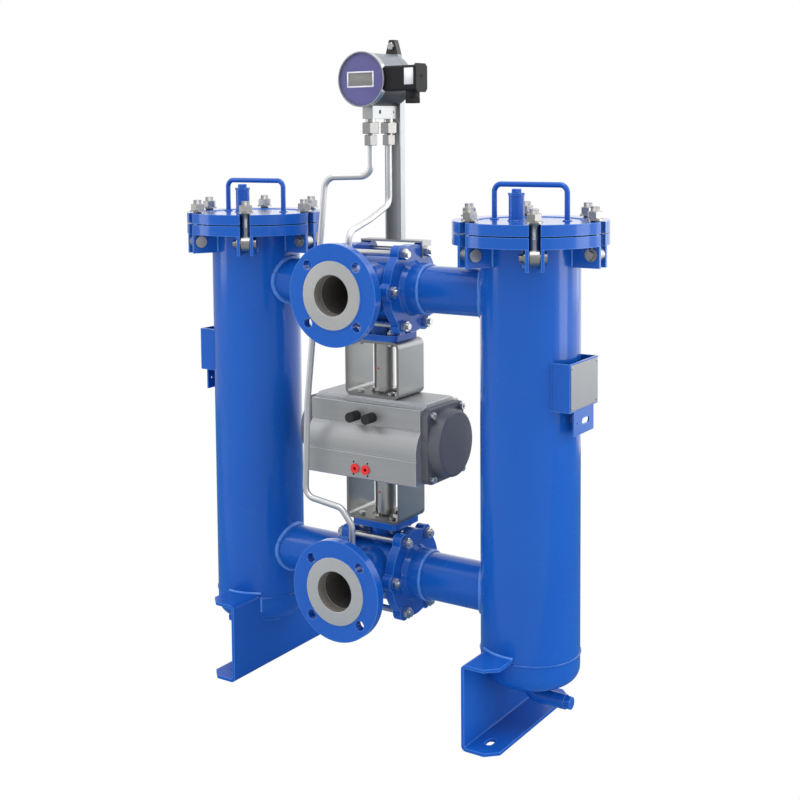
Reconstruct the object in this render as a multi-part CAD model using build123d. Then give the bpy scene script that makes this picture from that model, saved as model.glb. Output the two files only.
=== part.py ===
from build123d import *
from math import asin, atan, cos, pi, radians, sin, sqrt, tan
import os

# Duplex strainer: two upright filter vessels joined by an upper and a lower three-way ball
# valve, both turned by one rack-and-pinion actuator. Millimetres, +Z up, -Y towards the port
# flanges, origin on the floor under the valve stems.

# Layout
vessel_spacing = 626.0
lower_axis_z = 241.0
upper_axis_below_flange = 115.0
port_face_y = -175.0

# Vessels
vessel_radius = 90.0
vessel_wall = 5.0
head_tangent_z = 120.0
crown_radius = 144.0
knuckle_radius = 28.0
flange_top_z = 906.0
flange_thickness = 20.0
flange_radius = 140.0
seat_ring_z = 730.0
seat_ring_thickness = 8.0
seat_ring_bore = 68.0

# Swing bolt closure
closure_bolts = 6
first_bolt_angle = 30.0
bolt_circle_inset = 15.5
bolt_shank_radius = 8.0
eye_radius = 15.0
eye_thickness = 17.0
slot_width = 20.0
ear_thickness = 6.0
ear_below_pin = 23.0
pin_below_flange = 15.0
pin_radius = 7.0
pin_clearance = 0.05
pin_head_radius = 11.5
pin_head_thickness = 5.0
washer_radius = 15.0
washer_thickness = 3.0
nut_across_flats = 24.0
nut_height = 13.0
thread_beyond_nut = 8.0
swing_clearance = 0.3

# Nuts and screw heads
hexagon_land = 0.95
hexagon_chamfer_angle = 30.0

# Lid
gasket_thickness = 2.0
gasket_outer = 108.0
lid_thickness = 20.0
lid_recess_radius = 95.0
lid_recess_depth = 1.5
spigot_depth = 6.0
spigot_clearance = 0.6
handle_half_length = 72.0
handle_height = 67.5
handle_rod_radius = 5.0
handle_bend_radius = 14.0
vent_x = -17.0
vent_y = -20.0
vent_socket_radius = 14.0
vent_socket_height = 50.0
vent_bore_radius = 9.0
vent_collar_radius = 15.0
vent_collar_height = 5.0
vent_plug_flats = 17.0
vent_plug_height = 7.0

# Filter basket
basket_radius = 58.0
basket_wall = 2.0
basket_bottom_z = 170.0
basket_collar_thickness = 6.0
basket_collar_clearance = 1.0
basket_window_rows = 4
basket_windows_round = 8
bail_rod_radius = 4.0
bail_half_width = 56.0
bail_lid_clearance = 0.3

# Feet
foot_inset = 55.0
foot_sheet = 6.0
foot_height = 156.0
foot_half_length = 158.0
foot_flange_width = 66.0
foot_corner_cut = 21.0
foot_bend = 9.0
foot_slot_width = 15.0
foot_slot_length = 27.0
foot_slot_y = 112.0
foot_slot_x = 33.0

# Drain
drain_radius = 13.5
drain_bore = 10.5
drain_axis_z = 60.0
drain_bend = 18.0
drain_length = 72.0
drain_plug_length = 11.0
drain_plug_flats = 22.0
drain_plug_shank = 14.0

# Nameplate bracket
nameplate_z = 642.5
nameplate_bracket_width = 115.0
nameplate_bracket_height = 85.0
nameplate_bracket_reach = 105.0
bracket_sheet = 3.0
nameplate_margin = 2.5
nameplate_thickness = 1.0
tab_half_width = 40.0
tab_drop = 44.0
tab_slot_length = 30.0
tab_slot_width = 11.0
tab_slot_y = 7.0
tab_hole_y = -28.0
tab_slot_drop = 22.5
tab_hole_radius = 2.5

# Port flanges
port_flange_radius = 95.25
port_flange_thickness = 17.5
raised_face_radius = 63.5
raised_face_height = 2.0
port_bolt_circle = 152.4
port_bolt_count = 4
port_bolt_hole = 9.5
port_bore = 38.0
port_step_depth = 22.0
port_step = 1.0

# Branch pipes
pipe_radius = 44.45
pipe_wall = 5.5
weld_neck_end_x = 102.0
weld_neck_radius = 49.0

# Ball valves
body_half_length = 50.0
body_radius = 62.0
neck_radius = 49.5
end_plate_thickness = 18.0
tie_bolt_circle = 78.0
tie_bolt_count = 6
tie_lobe = 16.0
end_plate_radius = 83.0
post_tie_index = 1
neck_tie_index = 3
neck_thread = 8.5
tie_rod_radius = 6.0
tie_rod_clearance = 0.5
tie_nut_flats = 19.0
tie_nut_height = 10.0
tie_thread_beyond_nut = 5.0
ball_radius = 55.0
ball_clearance = 0.1
seat_outer = 48.0
seat_depth = 21.5
seat_clearance = 0.1
cavity_clearance = 1.5
stem_radius = 14.0
stem_clearance = 0.05
stem_tongue = 12.0
stem_tongue_depth = 8.0
pad_height = 100.0
pad_thickness = 12.0
pad_half_x = 52.0
pad_half_y = 45.0
pad_neck_radius = 31.0
gland_radius = 24.0
gland_depth = 14.0
stem_reach = 34.0

# Yokes and couplings
yoke_half_width = 61.0
yoke_depth = 90.0
yoke_sheet = 5.0
yoke_bend = 12.0
yoke_window_radius = 26.0
coupling_radius = 20.0
coupling_gap = 3.0
coupling_foot_radius = 24.0
coupling_foot_height = 5.0
drive_square = 17.0
drive_clearance = 0.05
yoke_screw_radius = 4.0
yoke_screw_flats = 13.0
yoke_screw_head = 5.3
yoke_screw_spread = 35.0
yoke_screw_grip = 14.0
pad_nut_height = 6.5
pad_thread_beyond_nut = 3.0

# Actuator
actuator_bottom_z = 433.0
actuator_top_z = 582.0
actuator_half_length = 123.0
actuator_half_width = 70.0
actuator_pad_y = 86.0
actuator_shoulder = 8.0
actuator_bore = 54.0
actuator_cap_flange = 14.0
actuator_cap_length = 37.0
actuator_cap_root_radius = 68.0
actuator_cap_radius = 62.0
actuator_cap_wall = 8.0
cap_screw_y = 53.0
cap_screw_z = 60.0
cap_screw_radius = 4.0
cap_screw_head_radius = 6.5
cap_screw_head = 8.0
cap_screw_socket = 6.0
cap_screw_socket_depth = 4.0
piston_clearance = 0.05
piston_inner_x = 56.0
piston_thickness = 14.0
rack_arm_depth = 17.0
rack_arm_half_height = 20.0
gear_module = 2.5
gear_teeth = 18
gear_backlash = 0.15
gear_face_half = 18.0
pressure_angle = 20.0
drive_turn = 90.0
gear_addendum = 0.95
gear_dedendum = 1.2
pinion_shaft_radius = 15.0
pinion_journal_radius = 26.0
pinion_clearance = 0.05
journal_to_rack = 1.0
pinion_stub = 24.0
silencer_radius = 9.5
silencer_length = 26.0
silencer_spacing = 36.0
silencer_z = 550.0
port_plug_z = 452.0
port_plug_spacing = 24.0
port_plug_radius = 9.0
port_plug_head = 3.0
port_plug_shank = 5.5
port_plug_depth = 10.0
pad_hole_radius = 2.6
pad_hole_half_x = 16.0
pad_hole_half_z = 12.0

# Pressure gauge and its post
post_width = 36.0
post_depth = 16.0
post_sheet = 3.0
post_y = 43.0
post_base_width = 32.0
post_base_sheet = 4.0
post_tab_sheet = 3.0
post_tab_drop = 28.0
post_lug_height = 28.0
lug_half_width = 14.0
lug_tip_half_width = 6.0
lug_screw_drop = 12.0
gauge_z = 1184.0
gauge_radius = 50.0
gauge_front_y = -72.0
gauge_back_y = 35.0
seam_y = 8.0
seam_width = 1.5
lug_depth = 14.0
bezel_radius = 51.5
bezel_depth = 12.0
bezel_lip = 2.5
bezel_gap = 0.3
dial_recess = 3.0
dial_thickness = 1.5
glass_thickness = 2.0
display_x = -4.0
display_width = 54.0
display_height = 24.0
manifold_half_width = 11.5
manifold_front_y = -50.0
manifold_back_y = 33.0
manifold_bottom_z = 1111.0
manifold_screw_front_y = -25.0
manifold_screw_back_y = 22.0
manifold_screw_rise = 13.0
manifold_recess = 4.0
manifold_hole = 2.0
manifold_hole_depth = 4.0
fitting_front_y = -40.0
fitting_back_y = 22.0
fitting_hex_flats = 30.0
fitting_hex_height = 28.0
fitting_nut_flats = 23.0
fitting_nut_height = 20.0
tube_radius = 6.0
tube_bend = 22.0
tube_boss_radius = 10.0
tube_boss_height = 12.0
tube_socket_depth = 8.0
tapping_radius = 2.0
tapping_y = -116.0
box_start_x = 44.0
box_end_x = 112.0
box_front_y = -66.0
box_back_y = -30.0
box_half_height = 23.0
box_cap_thickness = 6.0
box_cap_rise = 3.0
cable_gland_inset = 13.5
cable_gland_radius = 13.0
cable_gland_length = 23.0
cable_bore = 4.5

# Places that follow from the values above
vessel_x = vessel_spacing / 2
upper_axis_z = flange_top_z - upper_axis_below_flange
bolt_circle_radius = flange_radius - bolt_circle_inset
lid_bottom_z = flange_top_z + gasket_thickness
lid_top_z = lid_bottom_z + lid_thickness
flange_bottom_z = flange_top_z - flange_thickness
pin_z = flange_bottom_z - pin_below_flange
pin_to_lid = lid_top_z - pin_z
rim_beyond_bolt = flange_radius - bolt_circle_radius
nut_lift = pin_to_lid * (1 - cos(asin(rim_beyond_bolt / pin_to_lid))) + swing_clearance
washer_z = lid_top_z + nut_lift
bolt_tip_z = washer_z + washer_thickness + nut_height + thread_beyond_nut
actuator_z = (actuator_bottom_z + actuator_top_z - actuator_shoulder) / 2
end_plate_x = body_half_length + end_plate_thickness
gear_radius = gear_module * gear_teeth / 2
piston_travel = gear_radius * radians(drive_turn)
journal_top_z = actuator_z - rack_arm_half_height - journal_to_rack
tie_bolt_y = tie_bolt_circle / 2
tie_bolt_rise = tie_bolt_circle * sin(radians(60))
post_base_z = upper_axis_z + tie_bolt_rise + tie_lobe
post_web_y = post_y + post_depth / 2 - post_sheet
lug_top_z = gauge_z + gauge_radius + post_lug_height


def rod(radius, length, place=Location()):
    """A cylinder that starts at the place and runs along its Z."""
    return place * Cylinder(radius, length, align=(Align.CENTER, Align.CENTER, Align.MIN))


def pipe(outer, inner, length, place=Location()):
    return rod(outer, length, place) - rod(inner, length, place)


def hexagon(flats, height, place=Location()):
    """A nut or head: hexagon with its corners turned off at both ends."""
    corner = flats / sqrt(3)
    flat_radius = hexagon_land * flats / 2
    drop = (corner - flat_radius) * tan(radians(hexagon_chamfer_angle))
    outline = Polyline(
        (0, 0), (flat_radius, 0), (corner, drop), (corner, height - drop), (flat_radius, height),
        (0, height), close=True,
    )
    turned = revolve(Plane.XZ * make_face(outline), Axis.Z)
    prism = extrude(RegularPolygon(flats / 2, 6, major_radius=False), height)
    return place * (prism & turned)


def recess(flats, depth, place=Location()):
    return place * extrude(RegularPolygon(flats / 2, 6, major_radius=False), depth)


def along_x(x, y, z):
    """A place whose Z runs along +X."""
    return Pos(x, y, z) * Rot(0, 90, 0)


def along_y(x, y, z):
    """A place whose Z runs along +Y."""
    return Pos(x, y, z) * Rot(-90, 0, 0)


def bolt_place(side, index):
    """The vessel's axis turned so that local X points out through one closure bolt."""
    angle = first_bolt_angle + index * 360 / closure_bolts
    return Pos(side * vessel_x, 0, 0) * Rot(0, 0, angle - 90)


def head_outline(offset):
    """Half of a dished head: crown arc, knuckle arc and the straight side above it."""
    knuckle_x = vessel_radius - knuckle_radius
    reach = crown_radius - knuckle_radius
    crown_z = head_tangent_z + sqrt(reach**2 - knuckle_x**2)
    crown = crown_radius - offset
    knuckle = knuckle_radius - offset
    half_angle = asin(knuckle_x / reach)
    join = (crown * sin(half_angle), crown_z - crown * cos(half_angle))
    crown_middle = (crown * sin(half_angle / 2), crown_z - crown * cos(half_angle / 2))
    sweep_middle = (half_angle + pi / 2) / 2
    knuckle_middle = (
        knuckle_x + knuckle * sin(sweep_middle),
        head_tangent_z - knuckle * cos(sweep_middle),
    )
    return [
        ThreePointArc((0, crown_z - crown), crown_middle, join),
        ThreePointArc(join, knuckle_middle, (vessel_radius - offset, head_tangent_z)),
    ]


def vessel_solid(offset, top):
    """The space inside the vessel's surface moved in by the offset."""
    radius = vessel_radius - offset
    outline = Curve() + head_outline(offset)
    start = outline.edges().sort_by(Axis.Y)[0].vertices().sort_by(Axis.X)[0]
    outline += Polyline((radius, head_tangent_z), (radius, top), (0, top), (0, start.Y))
    return revolve(Plane.XZ * make_face(outline.edges()), Axis.Z)


def slot_cutter(bottom, height):
    """One radial slot, open at the rim, in the frame of its bolt."""
    length = flange_radius - bolt_circle_radius + slot_width
    cut = Pos(bolt_circle_radius, 0, bottom) * Box(
        length, slot_width, height, align=(Align.MIN, Align.CENTER, Align.MIN)
    )
    return cut + rod(slot_width / 2, height, Pos(bolt_circle_radius, 0, bottom))


def bolt_ears(side, index):
    """The pair of plates that hold one swing bolt's pin, welded to wall and flange."""
    height = flange_bottom_z - pin_z + ear_below_pin
    hole = rod(
        pin_radius + pin_clearance,
        2 * slot_width + 2 * ear_thickness,
        along_y(bolt_circle_radius, -slot_width - ear_thickness, pin_z),
    )
    wall = rod(vessel_radius, flange_bottom_z)
    plates = []
    for face in (1, -1):
        middle = face * (slot_width + ear_thickness) / 2
        plate = Pos(vessel_radius - vessel_wall, middle, pin_z - ear_below_pin) * Box(
            flange_radius - vessel_radius + vessel_wall,
            ear_thickness,
            height,
            align=(Align.MIN, Align.CENTER, Align.MIN),
        )
        plates.append(bolt_place(side, index) * (plate - wall - hole))
    return plates


def closure_flange(side):
    """Slip-on ring round the vessel's mouth with a slot for each swing bolt."""
    ring = pipe(flange_radius, vessel_radius, flange_thickness, Pos(side * vessel_x, 0, flange_bottom_z))
    slot = slot_cutter(flange_bottom_z, flange_thickness)
    for index in range(closure_bolts):
        ring = ring - bolt_place(side, index) * slot
    return ring


def vessel(side):
    """Shell, dished head and basket ledge, with holes for the branches and the drain."""
    shell = vessel_solid(0, flange_top_z) - vessel_solid(vessel_wall, flange_top_z + 1)
    ledge = pipe(
        vessel_radius - vessel_wall / 2,
        seat_ring_bore,
        seat_ring_thickness,
        Pos(0, 0, seat_ring_z - seat_ring_thickness),
    )
    body = Pos(side * vessel_x, 0, 0) * (shell + ledge)
    for axis_z in (upper_axis_z, lower_axis_z):
        inlet = rod(pipe_radius - pipe_wall, vessel_radius, along_x(0, 0, axis_z))
        if side > 0:
            body = body - Pos(vessel_x - vessel_radius, 0, 0) * inlet
        else:
            body = body - Pos(-vessel_x, 0, 0) * inlet
    outlet = rod(drain_bore, crown_radius - knuckle_radius, Pos(side * vessel_x, 0, 0))
    return body - outlet


def lid(side):
    """Flat cover with radial slots, a spigot into the vessel and a welded vent socket."""
    plate = rod(flange_radius, lid_thickness, Pos(0, 0, lid_bottom_z))
    recess_z = lid_top_z - lid_recess_depth
    plate = plate - rod(lid_recess_radius, lid_recess_depth, Pos(0, 0, recess_z))
    spigot = rod(
        vessel_radius - vessel_wall - spigot_clearance,
        gasket_thickness + spigot_depth,
        Pos(0, 0, flange_top_z - spigot_depth),
    )
    socket = rod(vent_socket_radius, vent_socket_height, Pos(vent_x, vent_y, recess_z))
    collar_z = recess_z + vent_socket_height - vent_collar_height
    collar = rod(vent_collar_radius, vent_collar_height, Pos(vent_x, vent_y, collar_z))
    plate = Pos(side * vessel_x, 0, 0) * (plate + spigot + socket + collar)
    vent = rod(
        vent_bore_radius,
        recess_z + vent_socket_height,
        Pos(side * vessel_x + vent_x, vent_y, 0),
    )
    plate = plate - vent
    slot = slot_cutter(lid_bottom_z, lid_thickness)
    for index in range(closure_bolts):
        plate = plate - bolt_place(side, index) * slot
    return plate


def lid_handle(side):
    """Bent round bar across the lid, both ends welded to it."""
    foot_z = lid_top_z - lid_recess_depth
    bar_z = lid_top_z + handle_height - handle_rod_radius
    reach = handle_half_length
    path = FilletPolyline(
        (-reach, 0, foot_z), (-reach, 0, bar_z), (reach, 0, bar_z), (reach, 0, foot_z),
        radius=handle_bend_radius,
    )
    section = Pos(-reach, 0, foot_z) * Circle(handle_rod_radius)
    return Pos(side * vessel_x, 0, 0) * sweep(section, path)


def vent_plug(side):
    top = lid_top_z - lid_recess_depth + vent_socket_height
    place = Pos(side * vessel_x + vent_x, vent_y, top)
    thread = rod(vent_bore_radius, vent_collar_height * 2, place * Pos(0, 0, -vent_collar_height * 2))
    return hexagon(vent_plug_flats, vent_plug_height, place) + thread


def lid_gasket(side):
    return pipe(
        gasket_outer,
        vessel_radius - vessel_wall,
        gasket_thickness,
        Pos(side * vessel_x, 0, flange_top_z),
    )


def swing_bolt(side, index):
    """Eye bolt, washer and nut, lifted clear of the lid so that the bolt can swing out."""
    eye = rod(eye_radius, eye_thickness, along_y(bolt_circle_radius, -eye_thickness / 2, pin_z))
    shank = rod(bolt_shank_radius, bolt_tip_z - pin_z, Pos(bolt_circle_radius, 0, pin_z))
    pin_hole = rod(
        pin_radius + pin_clearance,
        2 * eye_thickness,
        along_y(bolt_circle_radius, -eye_thickness, pin_z),
    )
    bolt = (eye + shank) - pin_hole
    washer = pipe(
        washer_radius, bolt_shank_radius, washer_thickness, Pos(bolt_circle_radius, 0, washer_z)
    )
    nut_z = washer_z + washer_thickness
    nut = hexagon(nut_across_flats, nut_height, Pos(bolt_circle_radius, 0, nut_z))
    nut = nut - rod(bolt_shank_radius, nut_height, Pos(bolt_circle_radius, 0, nut_z))
    place = bolt_place(side, index)
    return Compound(children=[place * bolt, place * washer, place * nut])


def hinge_pin(side, index):
    """Headed pin through a pair of ears, with a washer and split pin at its far end."""
    half = slot_width / 2 + ear_thickness
    shank = rod(
        pin_radius,
        2 * half + 2 * pin_head_thickness,
        along_y(bolt_circle_radius, -half - 2 * pin_head_thickness, pin_z),
    )
    head = rod(pin_head_radius, pin_head_thickness, along_y(bolt_circle_radius, half, pin_z))
    washer = rod(
        pin_head_radius,
        pin_head_thickness / 2,
        along_y(bolt_circle_radius, -half - pin_head_thickness / 2, pin_z),
    )
    return bolt_place(side, index) * (shank + head + washer)


def basket(side):
    """Perforated cage with a collar that sits on the vessel's ledge."""
    top = seat_ring_z + basket_collar_thickness
    wall = pipe(
        basket_radius, basket_radius - basket_wall, top - basket_bottom_z, Pos(0, 0, basket_bottom_z)
    )
    floor = rod(basket_radius, basket_wall, Pos(0, 0, basket_bottom_z))
    collar = pipe(
        vessel_radius - vessel_wall - basket_collar_clearance,
        basket_radius - basket_wall,
        basket_collar_thickness,
        Pos(0, 0, seat_ring_z),
    )
    cage = wall + floor + collar
    row_height = (seat_ring_z - seat_ring_thickness - basket_bottom_z) / basket_window_rows
    window_height = row_height * 0.8
    window_width = 2 * pi * basket_radius / basket_windows_round * 0.7
    for row in range(basket_window_rows):
        middle = basket_bottom_z + basket_wall + row_height * (row + 0.5)
        for turn in range(basket_windows_round // 2):
            window = Rot(0, 0, 360 / basket_windows_round * turn) * Pos(0, 0, middle)
            cage = cage - window * Box(4 * basket_radius, window_width, window_height)
    bar_z = lid_bottom_z - gasket_thickness - spigot_depth - bail_rod_radius - bail_lid_clearance
    foot = (bail_half_width + bail_rod_radius + basket_wall, 0, top)
    path = FilletPolyline(
        (-foot[0], 0, top), (-foot[0], 0, bar_z), (foot[0], 0, bar_z), foot,
        radius=handle_bend_radius,
    )
    bail = sweep(Pos(-foot[0], 0, top) * Circle(bail_rod_radius), path)
    return Pos(side * vessel_x, 0, 0) * (cage + bail)


def foot(side):
    """Bent sheet bracket: upright web with a floor flange and a flange welded to the wall."""
    inner_x = vessel_x - foot_inset
    outer_x = inner_x + foot_flange_width
    middle = (inner_x + outer_x) / 2
    block = Pos(middle, 0, foot_height / 2) * Box(
        foot_flange_width, 2 * foot_half_length, foot_height
    )
    inner_edges = block.edges().filter_by(Axis.Y).group_by(Axis.X)[0]
    block = fillet(inner_edges, foot_bend)
    hollow = Pos(middle + foot_sheet, 0, foot_height / 2) * Box(
        foot_flange_width, 2 * foot_half_length, foot_height - 2 * foot_sheet
    )
    hollow = fillet(hollow.edges().filter_by(Axis.Y).group_by(Axis.X)[0], foot_bend - foot_sheet)
    bracket = block - hollow
    outer_corners = bracket.edges().filter_by(Axis.Z).group_by(Axis.X)[-1]
    bracket = chamfer(outer_corners, foot_corner_cut)
    bracket = bracket - Pos(vessel_x, 0, 0) * vessel_solid(0, foot_height * 2)
    slot = Rot(0, 0, 90) * SlotOverall(foot_slot_length, foot_slot_width)
    for face in (1, -1):
        place = Pos(inner_x + foot_slot_x, face * foot_slot_y, 0)
        bracket = bracket - place * extrude(slot, foot_sheet)
    if side < 0:
        bracket = mirror(bracket, Plane.YZ)
    return bracket


def drain_elbow(side):
    """Pipe bend from the bottom of the head out to the side."""
    top = head_tangent_z
    end_x = vessel_x + drain_length
    path = FilletPolyline(
        (vessel_x, 0, top), (vessel_x, 0, drain_axis_z), (end_x, 0, drain_axis_z),
        radius=drain_bend,
    )
    outside = sweep(Pos(vessel_x, 0, top) * Circle(drain_radius), path)
    inside = sweep(Pos(vessel_x, 0, top) * Circle(drain_bore), path)
    elbow = outside - inside - Pos(vessel_x, 0, 0) * vessel_solid(0, foot_height * 2)
    if side < 0:
        elbow = mirror(elbow, Plane.YZ)
    return elbow


def drain_plug(side):
    end_x = vessel_x + drain_length
    head = hexagon(drain_plug_flats, drain_plug_length, along_x(end_x, 0, drain_axis_z))
    shank = rod(drain_bore, drain_plug_shank, along_x(end_x - drain_plug_shank, 0, drain_axis_z))
    plug = head + shank
    if side < 0:
        plug = mirror(plug, Plane.YZ)
    return plug


def nameplate_bracket(side):
    """Folded sheet box on the vessel's outer side, with a slotted tab below it."""
    outer_x = vessel_x + nameplate_bracket_reach
    block = Pos(outer_x, 0, nameplate_z) * Box(
        nameplate_bracket_reach,
        nameplate_bracket_width,
        nameplate_bracket_height,
        align=(Align.MAX, Align.CENTER, Align.CENTER),
    )
    hollow = Pos(outer_x - bracket_sheet, 0, nameplate_z) * Box(
        nameplate_bracket_reach,
        nameplate_bracket_width - 2 * bracket_sheet,
        nameplate_bracket_height,
        align=(Align.MAX, Align.CENTER, Align.CENTER),
    )
    bottom_z = nameplate_z - nameplate_bracket_height / 2
    tab = Pos(outer_x, 0, bottom_z) * Box(
        bracket_sheet, 2 * tab_half_width, tab_drop, align=(Align.MAX, Align.CENTER, Align.MAX)
    )
    slot_z = bottom_z - tab_slot_drop
    slot = along_x(outer_x - bracket_sheet, tab_slot_y, slot_z) * Rot(0, 0, 90)
    tab = tab - slot * extrude(SlotOverall(tab_slot_length, tab_slot_width), bracket_sheet)
    tab = tab - rod(
        tab_hole_radius, bracket_sheet, along_x(outer_x - bracket_sheet, tab_hole_y, slot_z)
    )
    bracket = (block - hollow) + tab
    bracket = bracket - rod(vessel_radius, flange_bottom_z, Pos(vessel_x, 0, 0))
    if side < 0:
        bracket = mirror(bracket, Plane.YZ)
    return bracket


def nameplate(side):
    outer_x = vessel_x + nameplate_bracket_reach
    plate = Pos(outer_x, 0, nameplate_z) * Box(
        nameplate_thickness,
        nameplate_bracket_width - 2 * nameplate_margin,
        nameplate_bracket_height - 2 * nameplate_margin,
        align=(Align.MIN, Align.CENTER, Align.CENTER),
    )
    if side < 0:
        plate = mirror(plate, Plane.YZ)
    return plate


def branch_pipe(side, axis_z):
    """Pipe from the valve's weld neck to the vessel, cut to the round of its wall."""
    tube = pipe(
        pipe_radius,
        pipe_radius - pipe_wall,
        vessel_x - weld_neck_end_x,
        along_x(weld_neck_end_x, 0, axis_z),
    )
    tube = tube - rod(vessel_radius, flange_bottom_z, Pos(vessel_x, 0, 0))
    if side < 0:
        tube = mirror(tube, Plane.YZ)
    return tube


def end_plate_outline():
    """A disc with a round lobe at each tie bolt."""
    outline = Circle(end_plate_radius)
    for index in range(tie_bolt_count):
        turn = Rot(0, 0, index * 360 / tie_bolt_count)
        outline = outline + turn * Pos(tie_bolt_circle, 0) * Circle(tie_lobe)
    return outline


def tie_places(x, axis_z):
    """Places of the tie bolts on the valve's face at x, each with its Z along +X."""
    places = []
    for index in range(tie_bolt_count):
        angle = radians(index * 360 / tie_bolt_count)
        y = tie_bolt_circle * cos(angle)
        z = axis_z + tie_bolt_circle * sin(angle)
        places.append(along_x(x, y, z))
    return places


def valve_end_cap(side, axis_z):
    """Lobed cover plate with a weld neck for the branch pipe."""
    plate = along_x(body_half_length, 0, axis_z) * Rot(0, 0, 90) * extrude(
        end_plate_outline(), end_plate_thickness
    )
    neck = Plane.XY * make_face(
        Polyline(
            (end_plate_x, port_bore),
            (end_plate_x, weld_neck_radius + 4),
            (end_plate_x + 10, weld_neck_radius),
            (weld_neck_end_x, weld_neck_radius),
            (weld_neck_end_x, port_bore),
            (end_plate_x, port_bore),
        )
    )
    neck = Pos(0, 0, axis_z) * revolve(neck, Axis.X)
    cap = plate + neck - rod(port_bore, weld_neck_end_x, along_x(0, 0, axis_z))
    for place in tie_places(body_half_length, axis_z):
        cap = cap - rod(tie_rod_radius + tie_rod_clearance, end_plate_thickness, place)
    if side < 0:
        cap = mirror(cap, Plane.YZ)
    return cap


def neck_stud(side, axis_z):
    """Short stud from the port neck through one end cap, where no long rod can pass."""
    start = neck_radius - neck_thread
    length = end_plate_x + tie_nut_height + tie_thread_beyond_nut - start
    stud = rod(tie_rod_radius, length, tie_places(start, axis_z)[neck_tie_index])
    nut = hexagon(tie_nut_flats, tie_nut_height, tie_places(end_plate_x, axis_z)[neck_tie_index])
    stud = stud + nut
    if side < 0:
        stud = mirror(stud, Plane.YZ)
    return stud


def tie_bolt(axis_z, index):
    """Long threaded rod through both end caps, with a nut at each end."""
    holds_post = axis_z == upper_axis_z and index == post_tie_index
    seat_x = end_plate_x + (post_tab_sheet if holds_post else 0)
    half = seat_x + tie_nut_height + tie_thread_beyond_nut
    start = tie_places(-half, axis_z)[index]
    bar = rod(tie_rod_radius, 2 * half, start)
    for x in (-seat_x - tie_nut_height, seat_x):
        bar = bar + hexagon(tie_nut_flats, tie_nut_height, tie_places(x, axis_z)[index])
    return bar


def valve_body(axis_z, stem_side):
    """Cast body with the front port flange, the ball's cavity and the stem's mounting pad."""
    barrel = rod(body_radius, 2 * body_half_length, along_x(-body_half_length, 0, axis_z))
    neck = rod(neck_radius, -port_face_y, along_y(0, port_face_y, axis_z))
    flange_y = port_face_y + raised_face_height
    flange = rod(port_flange_radius, port_flange_thickness, along_y(0, flange_y, axis_z))
    raised = rod(raised_face_radius, raised_face_height, along_y(0, port_face_y, axis_z))
    hub = Pos(0, flange_y + port_flange_thickness, axis_z) * Rot(-90, 0, 0) * Cone(
        neck_radius + 9, neck_radius, 14, align=(Align.CENTER, Align.CENTER, Align.MIN)
    )
    body = barrel + neck + flange + raised + hub
    up = Rot(0, 0, 0) if stem_side > 0 else Rot(180, 0, 0)
    top = Pos(0, 0, axis_z) * up
    body = body + rod(pad_neck_radius, pad_height, top)
    pad = top * Pos(0, 0, pad_height - pad_thickness) * extrude(
        RectangleRounded(2 * pad_half_x, 2 * pad_half_y, 14), pad_thickness
    )
    body = body + pad
    body = body + rod(tube_boss_radius, neck_radius + tube_boss_height, Pos(0, tapping_y, axis_z))
    cavity = Pos(0, 0, axis_z) * Sphere(ball_radius + cavity_clearance)
    body = body - cavity
    for place in (
        along_x(0, 0, axis_z),
        along_x(-body_half_length, 0, axis_z),
    ):
        body = body - rod(seat_outer + seat_clearance, body_half_length, place)
    seat_pocket = along_y(0, -body_half_length, axis_z)
    body = body - rod(seat_outer + seat_clearance, body_half_length, seat_pocket)
    body = body - rod(port_bore - port_step, -port_face_y, along_y(0, port_face_y, axis_z))
    body = body - rod(port_bore, port_step_depth, along_y(0, port_face_y, axis_z))
    socket_z = axis_z + neck_radius + tube_boss_height - tube_socket_depth
    body = body - rod(tube_radius, tube_socket_depth, Pos(0, tapping_y, socket_z))
    body = body - rod(tapping_radius, neck_radius + tube_boss_height, Pos(0, tapping_y, axis_z))
    body = body - rod(stem_radius + stem_clearance, pad_height, top)
    recess = top * Pos(0, 0, pad_height - gland_depth)
    body = body - rod(gland_radius, gland_depth, recess)
    stud_start = tie_places(-neck_radius, axis_z)[neck_tie_index]
    stud_end = tie_places(neck_radius - neck_thread, axis_z)[neck_tie_index]
    for place in (stud_start, stud_end):
        body = body - rod(tie_rod_radius, neck_thread, place)
    for index in range(port_bolt_count):
        angle = radians(45 + index * 360 / port_bolt_count)
        x = port_bolt_circle / 2 * cos(angle)
        z = axis_z + port_bolt_circle / 2 * sin(angle)
        body = body - rod(port_bolt_hole, port_flange_thickness, along_y(x, flange_y, z))
    for place in yoke_screw_places(0):
        body = body - top * Pos(0, 0, pad_height - pad_thickness) * place * Cylinder(
            yoke_screw_radius, pad_thickness, align=(Align.CENTER, Align.CENTER, Align.MIN)
        )
    return body


def ball_seat():
    """Section of one ring seat turned about +X, hollowed to the ball's curve."""
    face = ball_radius + ball_clearance
    bore = port_bore - port_step
    inner_end = body_half_length - seat_depth
    lip = (inner_end, sqrt(face**2 - inner_end**2))
    edge = (sqrt(face**2 - bore**2), bore)
    middle_turn = (atan(lip[1] / lip[0]) + atan(edge[1] / edge[0])) / 2
    outline = Curve()
    outline += ThreePointArc(edge, (face * cos(middle_turn), face * sin(middle_turn)), lip)
    outline += Polyline(
        lip, (inner_end, seat_outer), (body_half_length, seat_outer), (body_half_length, bore), edge
    )
    return revolve(make_face(outline.edges()), Axis.X)


def ball_seats(axis_z):
    """Ring seats between the ball and each of the three ports."""
    return [Pos(0, 0, axis_z) * Rot(0, 0, turn) * ball_seat() for turn in (0, 180, -90)]


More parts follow.
